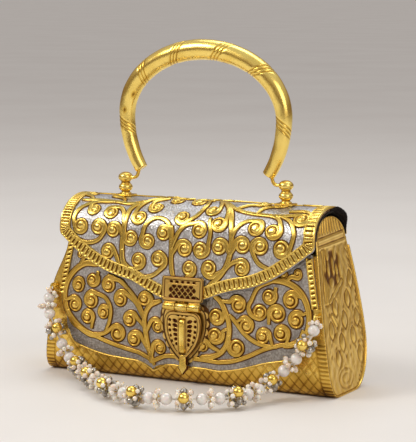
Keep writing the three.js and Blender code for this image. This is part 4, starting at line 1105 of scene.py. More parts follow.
def add_front_ground():
    lines = []
    for side in (-1, 1):
        foot_x, foot_z = STRIP_FOOT[side]
        line = bracket(side, PLATE_FOOT_Z, PLATE_HALVES, PLATE_END_Z)
        tail = [(side * (foot_x - STRIP_WIDTH), foot_z), (side * (foot_x - 0.3), foot_z)]
        lines.append(np.vstack([line, tail]))
    edge = np.vstack([lines[0][::-1], lines[1][1:]])
    x = np.concatenate([np.arange(edge[0, 0], edge[-1, 0], 1.6), [edge[-1, 0]]])
    low = np.interp(x, edge[:, 0], edge[:, 1])
    top = np.full_like(x, RIM_Z - 1)
    for side in (-1, 1):
        foot_x, foot_z = STRIP_FOOT[side]
        limit = foot_z + (foot_x - side * x) / (foot_x - STRIP_TOP_X[side]) * (STRIP_TOP_Z - foot_z)
        top = np.where(side * x > 0, np.clip(limit, foot_z + 0.4, top), top)
    z = low + np.linspace(0, 1, 60)[:, None] * (top - low)
    sheet = Shape()
    under, top = (front_place(x, z, h) for h in PLATE_SPAN)
    sheet.slab(top, under, 1)
    sheet.make("front_ground", [front_silver_painted_shade], "body", "silver", ["front_plate"])


def add_rails():
    """The raised line under the scrollwork, and a thin hem along the plate's lower edge."""
    for word, side in SIDES:
        path = eased(bracket(side, RAIL_FOOT_Z, RAIL_HALVES, RAIL_END_Z))
        path = path[side * (path[:, 0] - CLASP_X) > RAIL_START]
        hem = eased(bracket(side, PLATE_FOOT_Z, PLATE_HALVES, PLATE_END_Z))
        rail = Shape()
        rail.ribbon(front_place, path, RAIL_HALF, RAIL_BASE, RAIL_RISE, RIBBON)
        rail.ribbon(front_place, path, RAIL_HALF + SHADOW_WIDTH, FRONT_WORK[0], SHADOW_RISE, SHADOW, 1)
        rail.ribbon(front_place, hem, HEM_HALF, HEM_BASE, HEM_RISE, HEM)
        looks = [front_gold_painted_shade, brown_shadow]
        rail.make(f"front_rail_round_{word}", looks, "body", "gold", [f"front_rail_{word}"])


def add_strips():
    for word, side in SIDES:
        foot_x, foot_z = STRIP_FOOT[side]
        z = np.arange(foot_z, STRIP_TOP_Z + 0.01, STRIP_STEP)[:, None]
        outer = foot_x + (z - foot_z) / (STRIP_TOP_Z - foot_z) * (STRIP_TOP_X[side] - foot_x)
        across = STRIP_WIDTH * STRIP_ACROSS
        x = side * (outer - across)
        phase = (z - foot_z + STRIP_SLANT * side * across) / STRIP_PITCH
        bar = smoothstep(np.cos(2 * math.pi * phase), -0.3, 0.35)
        level = np.maximum(STRIP_RIMS * (0.75 if side < 0 else 1), STRIP_BARS * bar)
        top = front_place(x, z, STRIP_GROUND + STRIP_RISE * level)
        strip = Shape()
        strip.slab(top, front_place(x, z, STRIP_BASE), 0.03 + 0.9 * level)
        strip.make(f"front_strip_fluted_{word}", [chased_gold], "body", "gold", [f"front_strip_{word}"])


add_front_ground()
add_rails()
add_strips()


# Body: the bent wall with its crosshatched foot, the chased ends and the velvet inside

HATCH_PITCH = 6.4
HATCH_SLOPE = 0.8
HATCH_STEP = 0.62
HATCH_TOP_Z = 36
HATCH_DEPTH = 0.3
TICK_PITCH = 2.6
LINE_HALF = 0.5
EDGE_BAND = 6.5
WALL = 1
END_RECESS = 1.2
END_FOOT_Z = 1.2
END_ARCH = 13.8
RIB_PITCH = 4.2
FUZZ = 0.1
LINING_DEPTHS = (-1.3, -2.9)
LINING_SHORT = 2.6
END_LINING_IN, END_LINING_THICK = 2.5, 1.6
VELVET_START = 1.5
VELVET_THIN, VELVET_SWELL = 0.4, 1.6


def add_wall():
    """The wall's rows are close together where the hatching shows, low on the front."""
    heights = WRAP.points[:, 1]
    lowest = int(np.argmin(heights))
    start = np.interp(-HATCH_TOP_Z, -heights[:lowest], WRAP.along[:lowest])
    end = WRAP.along[lowest] + 5
    s = np.concatenate([
        np.linspace(0, start, 26)[:-1],
        np.arange(start, end, HATCH_STEP),
        np.linspace(end, WRAP.along[-1], 50),
    ])[:, None]
    z = WRAP.at(s, 0)[1]
    x = -reach(z, -1) + np.linspace(0, 1, 260) * (reach(z, -1) + reach(z, 1))
    inset = np.minimum(x + reach(z, -1), reach(z, 1) - x)
    near = smoothstep(s, start - 1, start + 3) * (1 - smoothstep(s, end - 6, end - 1))
    hatch = 0
    for slope in (HATCH_SLOPE, -HATCH_SLOPE):
        hatch = np.maximum(hatch, ridge(repeat(x + slope * s, HATCH_PITCH), LINE_HALF))
    ticks = ridge(repeat(s, TICK_PITCH), LINE_HALF)
    band = smoothstep(inset, EDGE_BAND + 0.3, EDGE_BAND - 0.3)
    border = ridge(inset - EDGE_BAND, LINE_HALF)
    depth = near * np.maximum(hatch * (1 - band) * 0.8, np.maximum(ticks * band, border))
    # The hatch lines are darkened, and the hatched foot darkens towards the bottom with painted shade.
    tone = 0.94 - 0.6 * depth - 0.4 * near * smoothstep(z, 17, 3)
    wall = Shape()
    wall.slab(WRAP.place(x, s, -HATCH_DEPTH * depth), WRAP.place(x, s, -WALL), tone)
    wall.make("wall_hatched", [front_gold_painted_shade], "body", "gold", ["body_wrap"])


def end_span(z, inset):
    """The front and back of an end panel at a height."""
    y, mid, half, rise = CREST
    low_front = np.interp(z, FRONT_HEIGHTS, FRONT.points[::-1, 0])
    back = np.vstack([BACK_CORNER, BACK_WALL[1:]])
    low_back = np.interp(z, back[:, 1], back[:, 0])
    arc = np.sqrt(np.clip(1 - ((z - mid) / (rise - inset)) ** 2, 0, 1))
    front = np.where(z < mid, low_front + inset, y - (half - inset) * arc)
    behind = np.where(z < mid, low_back - inset, y + (half - inset) * arc)
    return front, behind


# Places on an end are Y and Z; petals, the flower and the swirl also have half-sizes.
PETALS = [
    (-16, 82, 2.4, 7), (-10.5, 85.5, 2.2, 4.5), (0, 84.5, 2.4, 4.5), (-10.5, 77, 1.9, 6),
    (-3.8, 77.5, 1.6, 6), (7, 77, 2.8, 8.5), (1, 75, 1.4, 4), (-8, 68, 4, 3.2), (1, 69, 1.8, 3.2),
]
FLOWER = (-5, 76.5, 14, 12)
SWIRL = (-5, 9.5, 10, 6)
ALMONDS = [
    (18, 67), (11, 56), (-8, 53), (3, 44), (21, 43), (13, 33), (-4, 31), (20, 20), (-12, 22), (-17, 40),
]
ALMOND_HALF = (3.9, 6)
WEDGES = [
    (13, 40.5), (-3, 38.5), (6, 27), (20, 28), (-14, 29), (6, 22), (9, 14), (-6, 16), (-22, 25), (-14, 16),
    (3, 52), (17, 50), (-12, 37), (-20, 32), (25, 33), (14, 26), (0, 22), (-9, 26), (23, 55), (-18, 50),
]
CREASES = [((-22, 91), (20, 92.6)), ((-20, 95.6), (20, 97.4))]
STROKES = [
    ((-14, 57), (6, 67.5)), ((-14, 49), (-9, 42)), ((-18, 57), (-14.5, 88)), ((-20.5, 57), (-17, 88)),
]
MARK_ROW, MARK_PITCH = 5.2, 4.1
FAN_FOOT_Z = 97.6
FAN_PITCH = 4


def in_oval(y, z, oval):
    """How far out a place lies in an oval: 0 in its middle and 1 on its edge."""
    y0, z0, wide, tall = oval
    return np.hypot((y - y0) / wide, (z - z0) / tall)


def off_line(y, z, ends):
    """The distance from a line between two places, and the height above it."""
    (y0, z0), (y1, z1) = ends
    run, rise = y1 - y0, z1 - z0
    along = np.clip(((y - y0) * run + (z - z0) * rise) / (run ** 2 + rise ** 2), 0, 1)
    return np.hypot(y - y0 - along * run, z - z0 - along * rise), z - z0 - along * rise


def leaf_marks(y, z):
    """Short slanting strokes in staggered rows."""
    row = np.floor(z / MARK_ROW)
    across = (y / MARK_PITCH + 0.5 * (row % 2) + 0.2 * np.sin(2.1 * row)) % 1 - 0.5
    up = (z / MARK_ROW) % 1 - 0.5
    lean = np.where(row % 3 == 0, -0.5, 0.6)
    return ridge(across * MARK_PITCH - lean * up * MARK_ROW, 0.5) * ridge(up, 0.36)


def end_relief(y, z):
    """The chased work on an end: height, share of cut line, and share of the flower's dark hollow."""
    below = smoothstep(z, 90.5, 88.5)
    lift = 0.16 * below * np.sin(0.9 * y + 1.3 * np.sin(0.24 * z)) * np.sin(0.37 * z + 0.2 * y)
    flutes = np.cos(2 * math.pi * (y + 2) / (FAN_PITCH * (1 - 0.022 * (z - FAN_FOOT_Z))))
    fan = smoothstep(z, FAN_FOOT_Z, FAN_FOOT_Z + 1)
    cut = smoothstep(flutes, 0, 0.9) * fan
    lift = lift - 0.16 * flutes * fan
    cut = np.maximum(cut, 0.25 * below * leaf_marks(y, z))
    for ends in CREASES:
        far, above = off_line(y, z, ends)
        cut = np.maximum(cut, ridge(far * np.sign(above) - 0.5, 0.55))
        lift = lift + 0.28 * ridge(above + 0.9, 0.7)
    for y0, z0 in ALMONDS:
        far = np.abs((y - y0) / ALMOND_HALF[0]) + ((z - z0) / ALMOND_HALF[1]) ** 2
        cut = np.maximum(cut * smoothstep(far, 0.7, 1), ridge(far - 1, 0.2))
        lift = lift + 0.34 * ridge(far, 0.5)
    for y0, z0 in WEDGES:
        cut = np.maximum(cut, ridge(np.hypot((y - y0 - 0.4 * (z - z0)) / 1.1, (z - z0) / 1.7), 0.8))
    for ends in STROKES:
        far = off_line(y, z, ends)[0]
        lift = lift + 0.3 * ridge(far, 0.8)
        cut = np.maximum(cut, 0.8 * ridge(far - 1.5, 0.55))
    cut = cut * (0.5 + 0.5 * smoothstep(z, 10, 38))
    swirl = in_oval(y, z, SWIRL)
    cut = np.maximum(cut, np.maximum(0.5 * ridge(swirl - 1, 0.09), 0.3 * ridge(swirl - 0.5, 0.09)))
    petals = 0
    for petal in PETALS:
        petals = np.maximum(petals, ridge(in_oval(y, z, petal), 0.95))
    hollow = below * smoothstep(in_oval(y, z, FLOWER), 1.05, 0.8) * (1 - smoothstep(petals, 0.15, 0.7))
    return lift, cut, hollow


def add_ends():
    rows = np.linspace(END_FOOT_Z, SHOULDER_Z, 168)
    arched = SHOULDER_Z + END_ARCH * np.sin(np.linspace(0, 1.52, 36))
    z = np.concatenate([rows, arched[1:]])[:, None]
    front, back = end_span(z, WALL + 0.3)
    y = front + np.linspace(0, 1, 118) * (back - front)
    lift, cut, hollow = end_relief(y, z)
    edge = np.minimum(y - front, back - y)
    inside = smoothstep(edge, 1.4, 2.6)
    ribs = smoothstep(np.cos(2 * math.pi * (z + 0.9 * y) / RIB_PITCH), 0.3, 0.9)
    ribs = ribs * smoothstep(back - y, 6, 5) * smoothstep(z, 90, 86)
    cut = np.maximum(np.maximum(cut, 0.7 * ribs) * inside, 0.9 * ridge(edge - 1.9, LINE_HALF))
    level = 0.62 + lift * inside - 0.42 * cut - 0.55 * hollow * inside
    tone = np.clip(0.86 + 0.7 * lift - 0.6 * cut, 0, 1) * (1 - 0.84 * hollow * inside)
    for word, side in SIDES:
        x = side * (reach(z, side) - END_RECESS)
        panel = Shape()
        panel.slab(stack(x + side * (1.2 * level - 0.15), y, z), stack(x - side * WALL, y, z), tone)
        panel.make(f"end_chased_{word}", [tan_gold], "body", "gold", [f"end_panel_{word}"])


def add_body_velvet():
    lining = Shape()
    s = np.linspace(0, WRAP.along[-1], 70)[:, None]
    z = WRAP.at(s, 0)[1]
    left, right = (reach(z, side) - LINING_SHORT for side in (-1, 1))
    x = -left + np.linspace(0, 1, 84) * (left + right)
    fuzz = FUZZ * np.sin(3 * x) * np.sin(2.6 * s)
    outer, inner = LINING_DEPTHS
    lining.slab(WRAP.place(x, s, outer), WRAP.place(x, s, inner + fuzz), 1)
    z = np.linspace(LINING_SHORT, RIM_Z - 0.2, 44)[:, None]
    front, back = end_span(z, 2.1)
    y = front + np.linspace(0, 1, 30) * (back - front)
    fuzz = FUZZ * np.sin(3 * y) * np.sin(2.6 * z)
    for side in (-1, 1):
        x = side * (reach(z, side) - END_LINING_IN)
        lining.slab(stack(x, y, z), stack(x - side * END_LINING_THICK + fuzz, y, z), 1)
    lining.make("body_velvet", [velvet], "body", "velvet", ["body_lining"])


def add_velvet_edges():
    """The velvet swells round the flap's cut ends, from the crest to the back."""
    for word, side in SIDES:
        s = np.linspace(VELVET_START, FLAP_BACK + 0.6, 190)
        swell = VELVET_SWELL * smoothstep(-s, -VELVET_START, 10)
        size = VELVET_THIN + swell * smoothstep(s, FLAP_BACK, FLAP_BACK + CORNER_RUN)
        size = size * (1 + 0.24 * np.sin(7.3 * s) * np.sin(3.1 * s + 1))
        x = side * (flap_end(s, 2.9, side) + 0.1)
        edge = Shape()
        edge.tube(FLAP.place(x, s, 2.75), size, sides=14)
        edge.make(f"flap_velvet_edge_{word}", [velvet], "flap", "velvet")


add_wall()
add_ends()
add_body_velvet()
add_velvet_edges()


# Clasp: a pierced plate on the flap, and a pierced leaf that swings on it

CLASP_AXIS = (-35.1, 50)
KNUCKLE = 8.6
KNUCKLE_PLACES = np.array([-4.1, -4.0, -3.7, 0, 3.7, 4.0, 4.1])
KNUCKLE_RADII = 2.6 * np.array([0.8, 0.93, 1, 1, 1, 0.93, 0.8])
LEAF_BACK_Y = -33.7
LEAF_TOP_Z = 47.05
LEAF_HALF = 13
LEAF_HEIGHT = 31
SLOT = (2.5, 19.65, 42.75)
CLASP_HALF = 14.5
CLASP_LOW_Z, CLASP_TOP_Z = 52.95, 68.1
CLASP_BASE = 5.1
CLASP_FACE = 5.9
CLASP_BARS_Z = (63.35, 53.95)
CLASP_BAR_HALF = 11
HOLE_PITCH = 4
HOLE_ROWS_Z = (55.6, 57.75, 59.9, 62.05)
LEAF_ROWS = 6
LEAF_ROW_PITCH = 3.05
SHEET = 1.0
THIN = 0.02

# The two holes of a row: share of the row, where each starts, how much lower it lies, and half-height
ROW_HOLES = ((0.56, -0.02, 0, 1.25), (0.3, 0.68, 1.3, 1.1))

# The staple's route in Y and Z, and its section across and out
STAPLE_ROUTE = np.array([
    (-32.2, 42), (-34, 41.9), (-35.2, 41.2), (-35.7, 40), (-35.9, 37), (-35.9, 31.5), (-35.9, 26),
    (-35.7, 23), (-35.2, 21.8), (-34, 21.1), (-32.4, 21),
])
STAPLE_ACROSS = np.array([-1.8, -1.75, -1.2, 0, 1.2, 1.75, 1.8, 1.5, -1.5])
STAPLE_OUT = np.array([0, 0.35, 0.55, 0.62, 0.55, 0.35, 0, -0.5, -0.5])


def leaf_place(x, z, h):
    return stack(x, LEAF_BACK_Y - h, z)


def pierced(shape, place, base, thickness, outlines, kind=0, soft=0.15):
    """A flat sheet with holes, its edges softened, laid on a surface."""
    data = bpy.data.curves.new("outline", "CURVE")
    data.dimensions = "2D"
    data.fill_mode = "BOTH"
    data.extrude = thickness / 2 - soft
    data.bevel_depth = soft
    data.bevel_resolution = 1
    data.offset = -soft
    for points in outlines:
        spline = data.splines.new("POLY")
        spline.points.add(len(points) - 1)
        for mark, (x, z) in zip(spline.points, points):
            mark.co = (x, z, 0, 1)
        spline.use_cyclic_u = True
    flat = bpy.data.objects.new("outline", data)
    mesh = bpy.data.meshes.new_from_object(flat)
    x, z, h = np.array([v.co for v in mesh.vertices]).T
    faces = [list(face.vertices) for face in mesh.polygons]
    shape.add(place(x, z, base + thickness / 2 + h), faces, 0.9, kind)
    bpy.data.objects.remove(flat)
    bpy.data.curves.remove(data)
    bpy.data.meshes.remove(mesh)


def oval(x, z, wide, tall, tilt=0.0, sides=12, power=1.0):
    """An oval outline, or with a power above 1 a lozenge-like one."""
    angle = circle(sides)
    u = wide * np.sign(np.cos(angle)) * np.abs(np.cos(angle)) ** power
    v = tall * np.sign(np.sin(angle)) * np.abs(np.sin(angle)) ** power
    run, rise = math.cos(tilt), math.sin(tilt)
    return stack(x + u * run - v * rise, z + u * rise + v * run)


def box_outline(x0, x1, z0, z1, round_by=0.8):
    corners = [(x0, z0, 1, 1), (x1, z0, -1, 1), (x1, z1, -1, -1), (x0, z1, 1, -1)]
    line = []
    for i, (x, z, sx, sz) in enumerate(corners):
        ends = [(x, z + sz * round_by), (x, z), (x + sx * round_by, z)]
        line.append(bezier(ends if i % 2 == 0 else ends[::-1], 4))
    return np.vstack(line)


def spade(grow):
    """Round shoulders that run down to a point."""
    w, top, foot = LEAF_HALF + grow, LEAF_TOP_Z + grow, LEAF_TOP_Z - LEAF_HEIGHT - grow
    tall = top - foot
    shoulder = (w, top - tall * 0.24)
    half = np.vstack([
        bezier([(w * 0.55, top), (w, top), shoulder], 8),
        bezier([shoulder, (w, top - tall * 0.62), (w * 0.5, top - tall * 0.85), (0, foot)], 18)[1:],
    ])
    mirrored = half[-2::-1] * (-1, 1)
    return np.vstack([half, mirrored]) + (CLASP_X, 0)


def barrel(shape, x, size, centre, sides, tone, kind=0):
    """A round piece along X, with a radius at each of its places."""
    turn = circle(sides)
    y = centre[0] + size[:, None] * np.cos(turn)
    z = centre[1] + size[:, None] * np.sin(turn)
    shape.grid(stack(x[:, None], y, z), tone, kind, loop=True, caps=True)


def knuckle(shape, index):
    barrel(shape, CLASP_X + KNUCKLE * index + KNUCKLE_PLACES, KNUCKLE_RADII, CLASP_AXIS, 24, 1, 1)


def add_clasp_plate():
    left, right = CLASP_X - CLASP_HALF, CLASP_X + CLASP_HALF
    low, top = CLASP_LOW_Z, CLASP_TOP_Z
    holes = []
    for i in range(-2, 3):
        x = CLASP_X + HOLE_PITCH * i
        holes.append(box_outline(x - 1.2, x + 1.2, 64, 65.6, 0.4))
    for row, z in enumerate(HOLE_ROWS_Z):
        count = 5 - row % 2
        for i in range(count):
            holes.append(oval(CLASP_X + HOLE_PITCH * (i - (count - 1) / 2), z, 1.72, 1.85, 0, 12, 1.5))
    plate = Shape()
    pierced(plate, front_place, CLASP_BASE, SHEET, [box_outline(left, right, low, top, 1.6), *holes])
    frame_line = closed(box_outline(left + 1.1, right - 1.1, low + 1, top - 1.1, 1.2), 0.8)
    plate.ribbon(front_place, frame_line, 0.75, CLASP_FACE, 0.75, RIBBON)
    plate.ribbon(front_place, frame_line, 1.2, CLASP_FACE + 0.1, 0.16, SHADOW, 2)
    for z in CLASP_BARS_Z:
        bar = resample(np.array([(CLASP_X - CLASP_BAR_HALF, z), (CLASP_X + CLASP_BAR_HALF, z)]), 1)
        plate.ribbon(front_place, bar, 0.5, CLASP_FACE, 0.6, RIBBON)
    # A thin dark sheet behind the plate paints shade in its holes.
    pierced(plate, front_place, 4.98, 0.1, [box_outline(left + 1, right - 1, low + 1, top - 1)], 2, THIN)
    for index in (-1, 1):
        knuckle(plate, index)
        x = CLASP_X + KNUCKLE * index
        pierced(plate, front_place, CLASP_BASE, SHEET, [box_outline(x - 4, x + 4, 51, low + 1, 0.3)])
    plate.make("clasp_plate_pierced", [bronze, plain_gold, painted_shade], "flap", "bronze", ["clasp_plate"])


def leaf_holes():
    """Two holes in each of the rows beside the slot, and three above it."""
    half, top = SLOT[0], SLOT[2]
    holes = []
    for side in (-1, 1):
        for row in range(LEAF_ROWS):
            z = top - 1.2 - row * LEAF_ROW_PITCH
            room = LEAF_HALF - half - 3.0 - 0.16 * row * row
            tilt = 0.42 - 0.1 * row
            for share, start, lower, tall in ROW_HOLES:
                off = start * room + share * room / 2
                middle = CLASP_X + side * (half + 0.8 + off * math.cos(tilt))
                high = z - lower + (off - room / 2) * math.sin(tilt)
                holes.append(oval(middle, high, share * room / 2, tall, side * tilt, 14, 1.2))
        holes.append(oval(CLASP_X + side * 3.4, top + 1.9, 1.5, 0.8, side * 0.5, 10))
    holes.append(oval(CLASP_X, top + 1.9, 0.9, 0.9, 0, 10))
    return holes


def add_clasp_leaf():
    half, low, top = SLOT
    slot = box_outline(CLASP_X - half, CLASP_X + half, low, top, 1.2)
    leaf = Shape()
    pierced(leaf, leaf_place, 0, SHEET, [spade(0), slot, *leaf_holes()])
    edge = closed(spade(-1.3), 0.7)
    leaf.ribbon(leaf_place, edge, 0.8, 0.8, 0.7, RIBBON)
    leaf.ribbon(leaf_place, edge, 1.25, 0.9, 0.16, SHADOW, 2)
    inner = box_outline(CLASP_X - half - 0.5, CLASP_X + half + 0.5, low - 0.5, top + 0.5, 1.5)
    leaf.ribbon(leaf_place, closed(inner, 0.7), 0.45, 0.8, 0.5, RIBBON)
    # A thin dark sheet behind the leaf paints shade in its holes and slot.
    pierced(leaf, leaf_place, -0.12, 0.1, [spade(-0.8), slot], 2, THIN)
    foot = LEAF_TOP_Z - LEAF_HEIGHT
    tab = [(2.2, foot + 3.6), (2.2, foot - 2), (3, foot - 3.2), (2.7, foot - 4.6), (0, foot - 8.6)]
    tab = np.array(tab + [(-x, z) for x, z in tab[-2::-1]])
    pierced(leaf, leaf_place, 0, 1.4, [tab + (CLASP_X, 0)], 1, 0.5)
    # A wider dark sheet behind the tab paints a shadow round it.
    pierced(leaf, leaf_place, -0.15, 0.14, [tab * (1.32, 1) + (CLASP_X, -0.8)], 2, THIN)
    pierced(leaf, leaf_place, 0, SHEET, [box_outline(CLASP_X - 4, CLASP_X + 4, LEAF_TOP_Z - 1, 48.7, 0.3)])
    knuckle(leaf, 0)
    leaf.make("clasp_leaf_pierced", [bronze, plain_gold, painted_shade], "clasp", "bronze", ["clasp_leaf"])


def scalloped(grow, lobes, bulge):
    """The spade's outline with round lobes all along it."""
    edge = closed(spade(grow), 0.5)
    along = spacing(edge)
    lobe = np.abs(np.sin(math.pi * lobes * along / along[-1])) ** 0.7
    return (edge + sideways(edge) * (bulge * lobe)[:, None])[:-1]


def add_catch():
    plate = Shape()
    pierced(plate, front_place, 0.8, 0.9, [scalloped(1.8, 20, 2.4)])
    pierced(plate, front_place, 0.72, 0.14, [spade(4.8)], 1, THIN)
    plate.ribbon(front_place, closed(spade(2.2), 0.7), 0.5, 1.62, 0.14, SHADOW, 1)
    plate.make("catch_scallops", [bronze, brown_shadow], "body", "bronze", ["catch_plate"])


def add_staple():
    """A flat bar that stands through the leaf's slot, its two ends bent down to the catch plate."""
    path = resample(STAPLE_ROUTE, 0.5)
    normals = -sideways(path)
    y, z = (path[:, i, None] + normals[:, i, None] * STAPLE_OUT for i in (0, 1))
    bar = Shape()
    bar.grid(stack(CLASP_X + STAPLE_ACROSS, y, z), 1, loop=True, caps=True)
    bar.make("catch_staple_bar", [plain_gold], "body", "gold", ["catch_staple"])


add_clasp_plate()
add_clasp_leaf()
add_catch()
add_staple()


# Handle: a tube with groups of slanting cuts, shallow dents and worn spots

PIVOT_Z = 125.3
WAIST_Z = 166.2
HANDLE_HALF = 55.8
HANDLE_RISE = 42
HANDLE_LOWER = 60
HANDLE_CURL = 0.62
HANDLE_CUTS = [-3, 45, 77, 109, 139, 186]
CUT_TWIST = 3.4  # along the tube for each radian round it
CUT_PITCH = 2.4
CUT_REACH = 9.5
WIRE_RADIUS = 1.1
WIRE_ROUTE = [
    (46.2, 134), (47.2, 131), (48, 128.4), (48.9, 126.4), (50.6, 125.4), (53, PIVOT_Z), (58.5, PIVOT_Z),
]
HANDLE_STEP = 0.42
HANDLE_THIN, HANDLE_SWELL = 4.15, 2.35
CUT_DEPTH = 0.45

# Worn spots: degrees round the arch, angle round the tube, and length
WEAR = [(160, 2.3, 3.2), (72, 2.9, 3.6), (176, 1.75, 2.2), (52, 2.8, 2)]
WEAR_TURN = 0.22


def add_handle():
    angle = np.linspace(-HANDLE_CURL, math.pi + HANDLE_CURL, 700)
    rise = np.where((angle < 0) | (angle > math.pi), HANDLE_LOWER, HANDLE_RISE)
    path = stack(HANDLE_HALF * np.cos(angle), WAIST_Z + rise * np.sin(angle))
    along = spacing(path)
    at = np.arange(0, along[-1], HANDLE_STEP)
    path = at_each(at, along, path)
    angle = np.interp(at, along, angle)
    t = directions(path)
    share = (angle + HANDLE_CURL) / (math.pi + 2 * HANDLE_CURL)
    size = (HANDLE_THIN + HANDLE_SWELL * np.sin(math.pi * np.clip(share, 0, 1)))[:, None]
    turn = circle(40)
    depth, wear = 0, 0
    for degrees in HANDLE_CUTS:
        off = at[:, None] - np.interp(math.radians(degrees), angle, at)
        kept = smoothstep(np.abs(off), CUT_REACH, CUT_REACH - 3)
        for lap in (-1, 0, 1):
            twist = CUT_TWIST * (turn - math.pi / 2 + 2 * math.pi * lap)
            for step in (-1, 0, 1):
                depth = np.maximum(depth, kept * ridge(off - twist - CUT_PITCH * step, LINE_HALF))
    for degrees, round_by, length in WEAR:
        off = at[:, None] - np.interp(math.radians(degrees), angle, at)
        wear = np.maximum(wear, ridge(np.hypot(off / length, (turn - round_by) / WEAR_TURN), 0.8))
    dents = 0.12 * np.sin(at[:, None] * 0.21 + 2 * np.cos(turn)) * np.sin(at[:, None] * 0.33 + turn)
    radius = size - CUT_DEPTH * depth + dents * 0.6
    x = path[:, :1] + t[:, 1:] * radius * np.cos(turn)
    z = path[:, 1:] - t[:, :1] * radius * np.cos(turn)
    y = CREST[0] - radius * np.sin(turn)
    tube = Shape()
    tone = np.clip(0.93 - 0.6 * depth, 0, 1) * (1 - 0.9 * wear)
    tube.grid(stack(x, y, z), tone, loop=True, caps=True)
    tube.make("handle_tube_chased", [chased_gold], "handle", "gold", ["handle_tube"])


def add_wires():
    """The wires that leave the tube's ends and turn in the posts."""
    route = through(WIRE_ROUTE, 0.35)
    # The wire darkens where it leaves the tube's end: painted shade.
    tone = 0.55 + 0.35 * smoothstep(route[:, :1], 48, 52)
    for word, side in SIDES:
        wire = Shape()
        wire.tube(stack(side * route[:, 0], CREST[0], route[:, 1]), WIRE_RADIUS, sides=14, tone=tone)
        wire.make(f"handle_wire_bent_{word}", [chased_gold], "handle", "gold", [f"handle_wire_{word}"])


add_handle()
add_wires()


# Posts: turned finials, a ball on a bulb

POST_X = 57.3
POST_FOOT_Z = 114.15
STUD_RADIUS = 1.5
STUD_TAIL_Z = 109


def oval_profile(radius, z, half_height, start, end):
    fall = np.linspace(start, end, 20)
    return stack(radius * np.sin(fall), z + half_height * np.cos(fall))


def add_posts():
    profile = np.vstack([
        oval_profile(4.75, PIVOT_Z, 3.4, 0.12, math.pi - 0.85),
        [(3.0, 122.7), (2.8, 122.1), (3.0, 121.5)],
        oval_profile(4.5, 118.9, 3.1, 0.8, math.pi - 0.75),
        [(2.7, 116.2), (2.6, 115.8), (3.5, 115.3), (3.7, 115)],
        [(3.7, POST_FOOT_Z + 0.1), (STUD_RADIUS, POST_FOOT_Z), (STUD_RADIUS, STUD_TAIL_Z)],
    ])
    turn = circle(36)
    radius, z = profile[:, :1], profile[:, 1:]
    # The narrow necks above the foot are darkened: painted shade.
    tone = 0.95 - 0.6 * smoothstep(radius, 3.6, 2.7) * smoothstep(z, 110, 114)
    for word, side in SIDES:
        points = stack(side * POST_X + radius * np.cos(turn), CREST[0] + radius * np.sin(turn), z)
        post = Shape()
        post.grid(points, tone, loop=True, caps=True)
        post.make(f"post_turned_{word}", [chased_gold], "flap", "gold", [f"post_{word}"])


add_posts()


# Hinge ends: the back hinge's barrel and leaf carried on to the bag's ends

HINGE_Y, HINGE_Z = 23.6, 91
HINGE_END_X = 75.8
HINGE_SHARES = np.array([0, 0.1, 0.4, 0.5, 0.6, 0.95, 1])
HINGE_RADII = 2.2 * np.array([0.85, 1, 1, 0.85, 1, 1, 0.85])
HINGE_LEAF_SPAN = (0.05, 0.85)
HINGE_SHORT = 1.8
HINGE_LEAF_LOW_Z = 77.8
HINGE_TONE = 0.95


def add_hinge_ends():
    low = np.interp(HINGE_LEAF_LOW_Z, WRAP.points[-40:, 1], WRAP.along[-40:])
    s = np.linspace(low, WRAP.along[-1], 10)[:, None]
    for word, side in SIDES:
        far = reach(HINGE_Z, side) - 1.4
        along = HINGE_END_X + HINGE_SHARES * (far - HINGE_SHORT - HINGE_END_X)
        x = side * (HINGE_END_X + np.linspace(0, 1, 8) * (far - HINGE_END_X))
        end = Shape()
        barrel(end, side * along, HINGE_RADII, (HINGE_Y, HINGE_Z), 28, HINGE_TONE)
        under, top = (WRAP.place(x, s, h) for h in HINGE_LEAF_SPAN)
        end.slab(top, under, HINGE_TONE)
        end.make(f"hinge_end_{word}", [chased_gold], "body", "gold")


add_hinge_ends()


# Pieces that keep their CAD shape: softened edges and a finish

def smooth_by_angle(limit):
    """A modifier that shades smooth across every edge flatter than a limit."""
    group = bpy.data.node_groups.new("smooth_by_angle", "GeometryNodeTree")
    group.interface.new_socket("Geometry", in_out="INPUT", socket_type="NodeSocketGeometry")
    group.interface.new_socket("Geometry", in_out="OUTPUT", socket_type="NodeSocketGeometry")
    start = group.nodes.new("NodeGroupInput")
    end = group.nodes.new("NodeGroupOutput")
    faces = group.nodes.new("GeometryNodeSetShadeSmooth")
    edges = group.nodes.new("GeometryNodeSetShadeSmooth")
    edges.domain = "EDGE"
    angle = group.nodes.new("GeometryNodeInputMeshEdgeAngle")
    flat = group.nodes.new("FunctionNodeCompare")
    flat.operation = "LESS_THAN"
    flat.inputs[1].default_value = math.radians(limit)
    group.links.new(angle.outputs[0], flat.inputs[0])
    group.links.new(start.outputs[0], faces.inputs[0])
    group.links.new(faces.outputs[0], edges.inputs[0])
    group.links.new(flat.outputs[0], edges.inputs["Shade Smooth"])
    group.links.new(edges.outputs[0], end.inputs[0])
    return group


CAD_LOOKS = {"gold": plain_gold, "pin": pin_metal}
SMOOTH_ANGLE = 50
EDGE_SOFTNESS = 0.14
EDGE_ANGLE = 55


def finish_cad_nodes():
    smooth = smooth_by_angle(SMOOTH_ANGLE)
    for row in frame["record"]["subparts"]:
        node = frame["nodes"][row["node"]]
        if node.hide_render:
            continue
        node.data.materials.clear()
        node.data.materials.append(CAD_LOOKS[row["material_slot"]])
        bevel = node.modifiers.new("soft_edges", "BEVEL")
        bevel.width = EDGE_SOFTNESS * MM
        bevel.segments = 2
        bevel.limit_method = "ANGLE"
        bevel.angle_limit = math.radians(EDGE_ANGLE)
        node.modifiers.new("smooth", "NODES").node_group = smooth


finish_cad_nodes()


# Floor, light and world

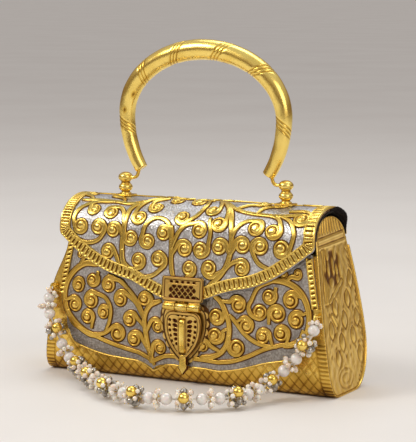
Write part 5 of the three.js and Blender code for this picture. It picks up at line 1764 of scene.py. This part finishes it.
FLOOR_HALF = 40  # metres
FLOOR_STOPS = [(0.3, (0.76, 0.73, 0.7)), (0.7, (0.8, 0.775, 0.745))]
WORLD_STRENGTH = 0.8
WORLD_STOPS = [
    (0.0, (0.2, 0.13, 0.08)), (0.16, (0.3, 0.21, 0.14)), (0.5, (0.66, 0.61, 0.57)), (1.0, (0.8, 0.82, 0.86)),
]

# Name, place, what it is aimed at, size, watts and colour, with lengths in metres
LIGHTS = [
    ("key", (-0.9, -1.0, 1.3), (0, 0, 0.08), (0.6, 0.6), 13, (1.0, 0.96, 0.9)),
    ("fill", (1.3, -0.7, 0.8), (0, 0, 0.08), (1.0, 1.0), 7, (1.0, 0.93, 0.84)),
    ("top", (0.0, 0.5, 1.4), (0, 0, 0.1), (1.2, 0.6), 7, (0.92, 0.96, 1.0)),
]


def add_floor():
    mesh = bpy.data.meshes.new("floor")
    corners = [(-1, -1), (1, -1), (1, 1), (-1, 1)]
    mesh.from_pydata([(FLOOR_HALF * x, FLOOR_HALF * y, 0) for x, y in corners], [], [(0, 1, 2, 3)])
    look = Look("pale_floor", {"Roughness": 0.55})
    look.colour(look.noise(240, 3), FLOOR_STOPS)
    mesh.materials.append(look.material)
    floor = add_object("floor", mesh)


def add_light(name, place, aim, size, watts, colour):
    data = bpy.data.lights.new(name, "AREA")
    data.shape = "RECTANGLE"
    data.size, data.size_y = size
    data.energy = watts
    data.color = colour
    lamp = add_object(name, data)
    lamp.location = place
    direction = np.array(aim) - np.array(place)
    yaw = math.atan2(direction[0], -direction[1])
    pitch = math.atan2(math.hypot(direction[0], direction[1]), -direction[2])
    lamp.rotation_euler = (pitch, 0, yaw + math.pi)


def add_world():
    world = bpy.data.worlds.new("studio")
    bpy.context.scene.world = world
    world.use_nodes = True
    nodes, links = world.node_tree.nodes, world.node_tree.links
    back = nodes["Background"]
    where = nodes.new("ShaderNodeTexCoord")
    split = nodes.new("ShaderNodeSeparateXYZ")
    ramp = nodes.new("ShaderNodeValToRGB")
    links.new(where.outputs["Generated"], split.inputs[0])
    links.new(split.outputs["Z"], ramp.inputs["Fac"])
    set_stops(ramp, WORLD_STOPS)
    links.new(ramp.outputs["Color"], back.inputs["Color"])
    back.inputs["Strength"].default_value = WORLD_STRENGTH


add_floor()
add_world()
for light in LIGHTS:
    add_light(*light)
bpy.context.scene.view_settings.view_transform = "Standard"
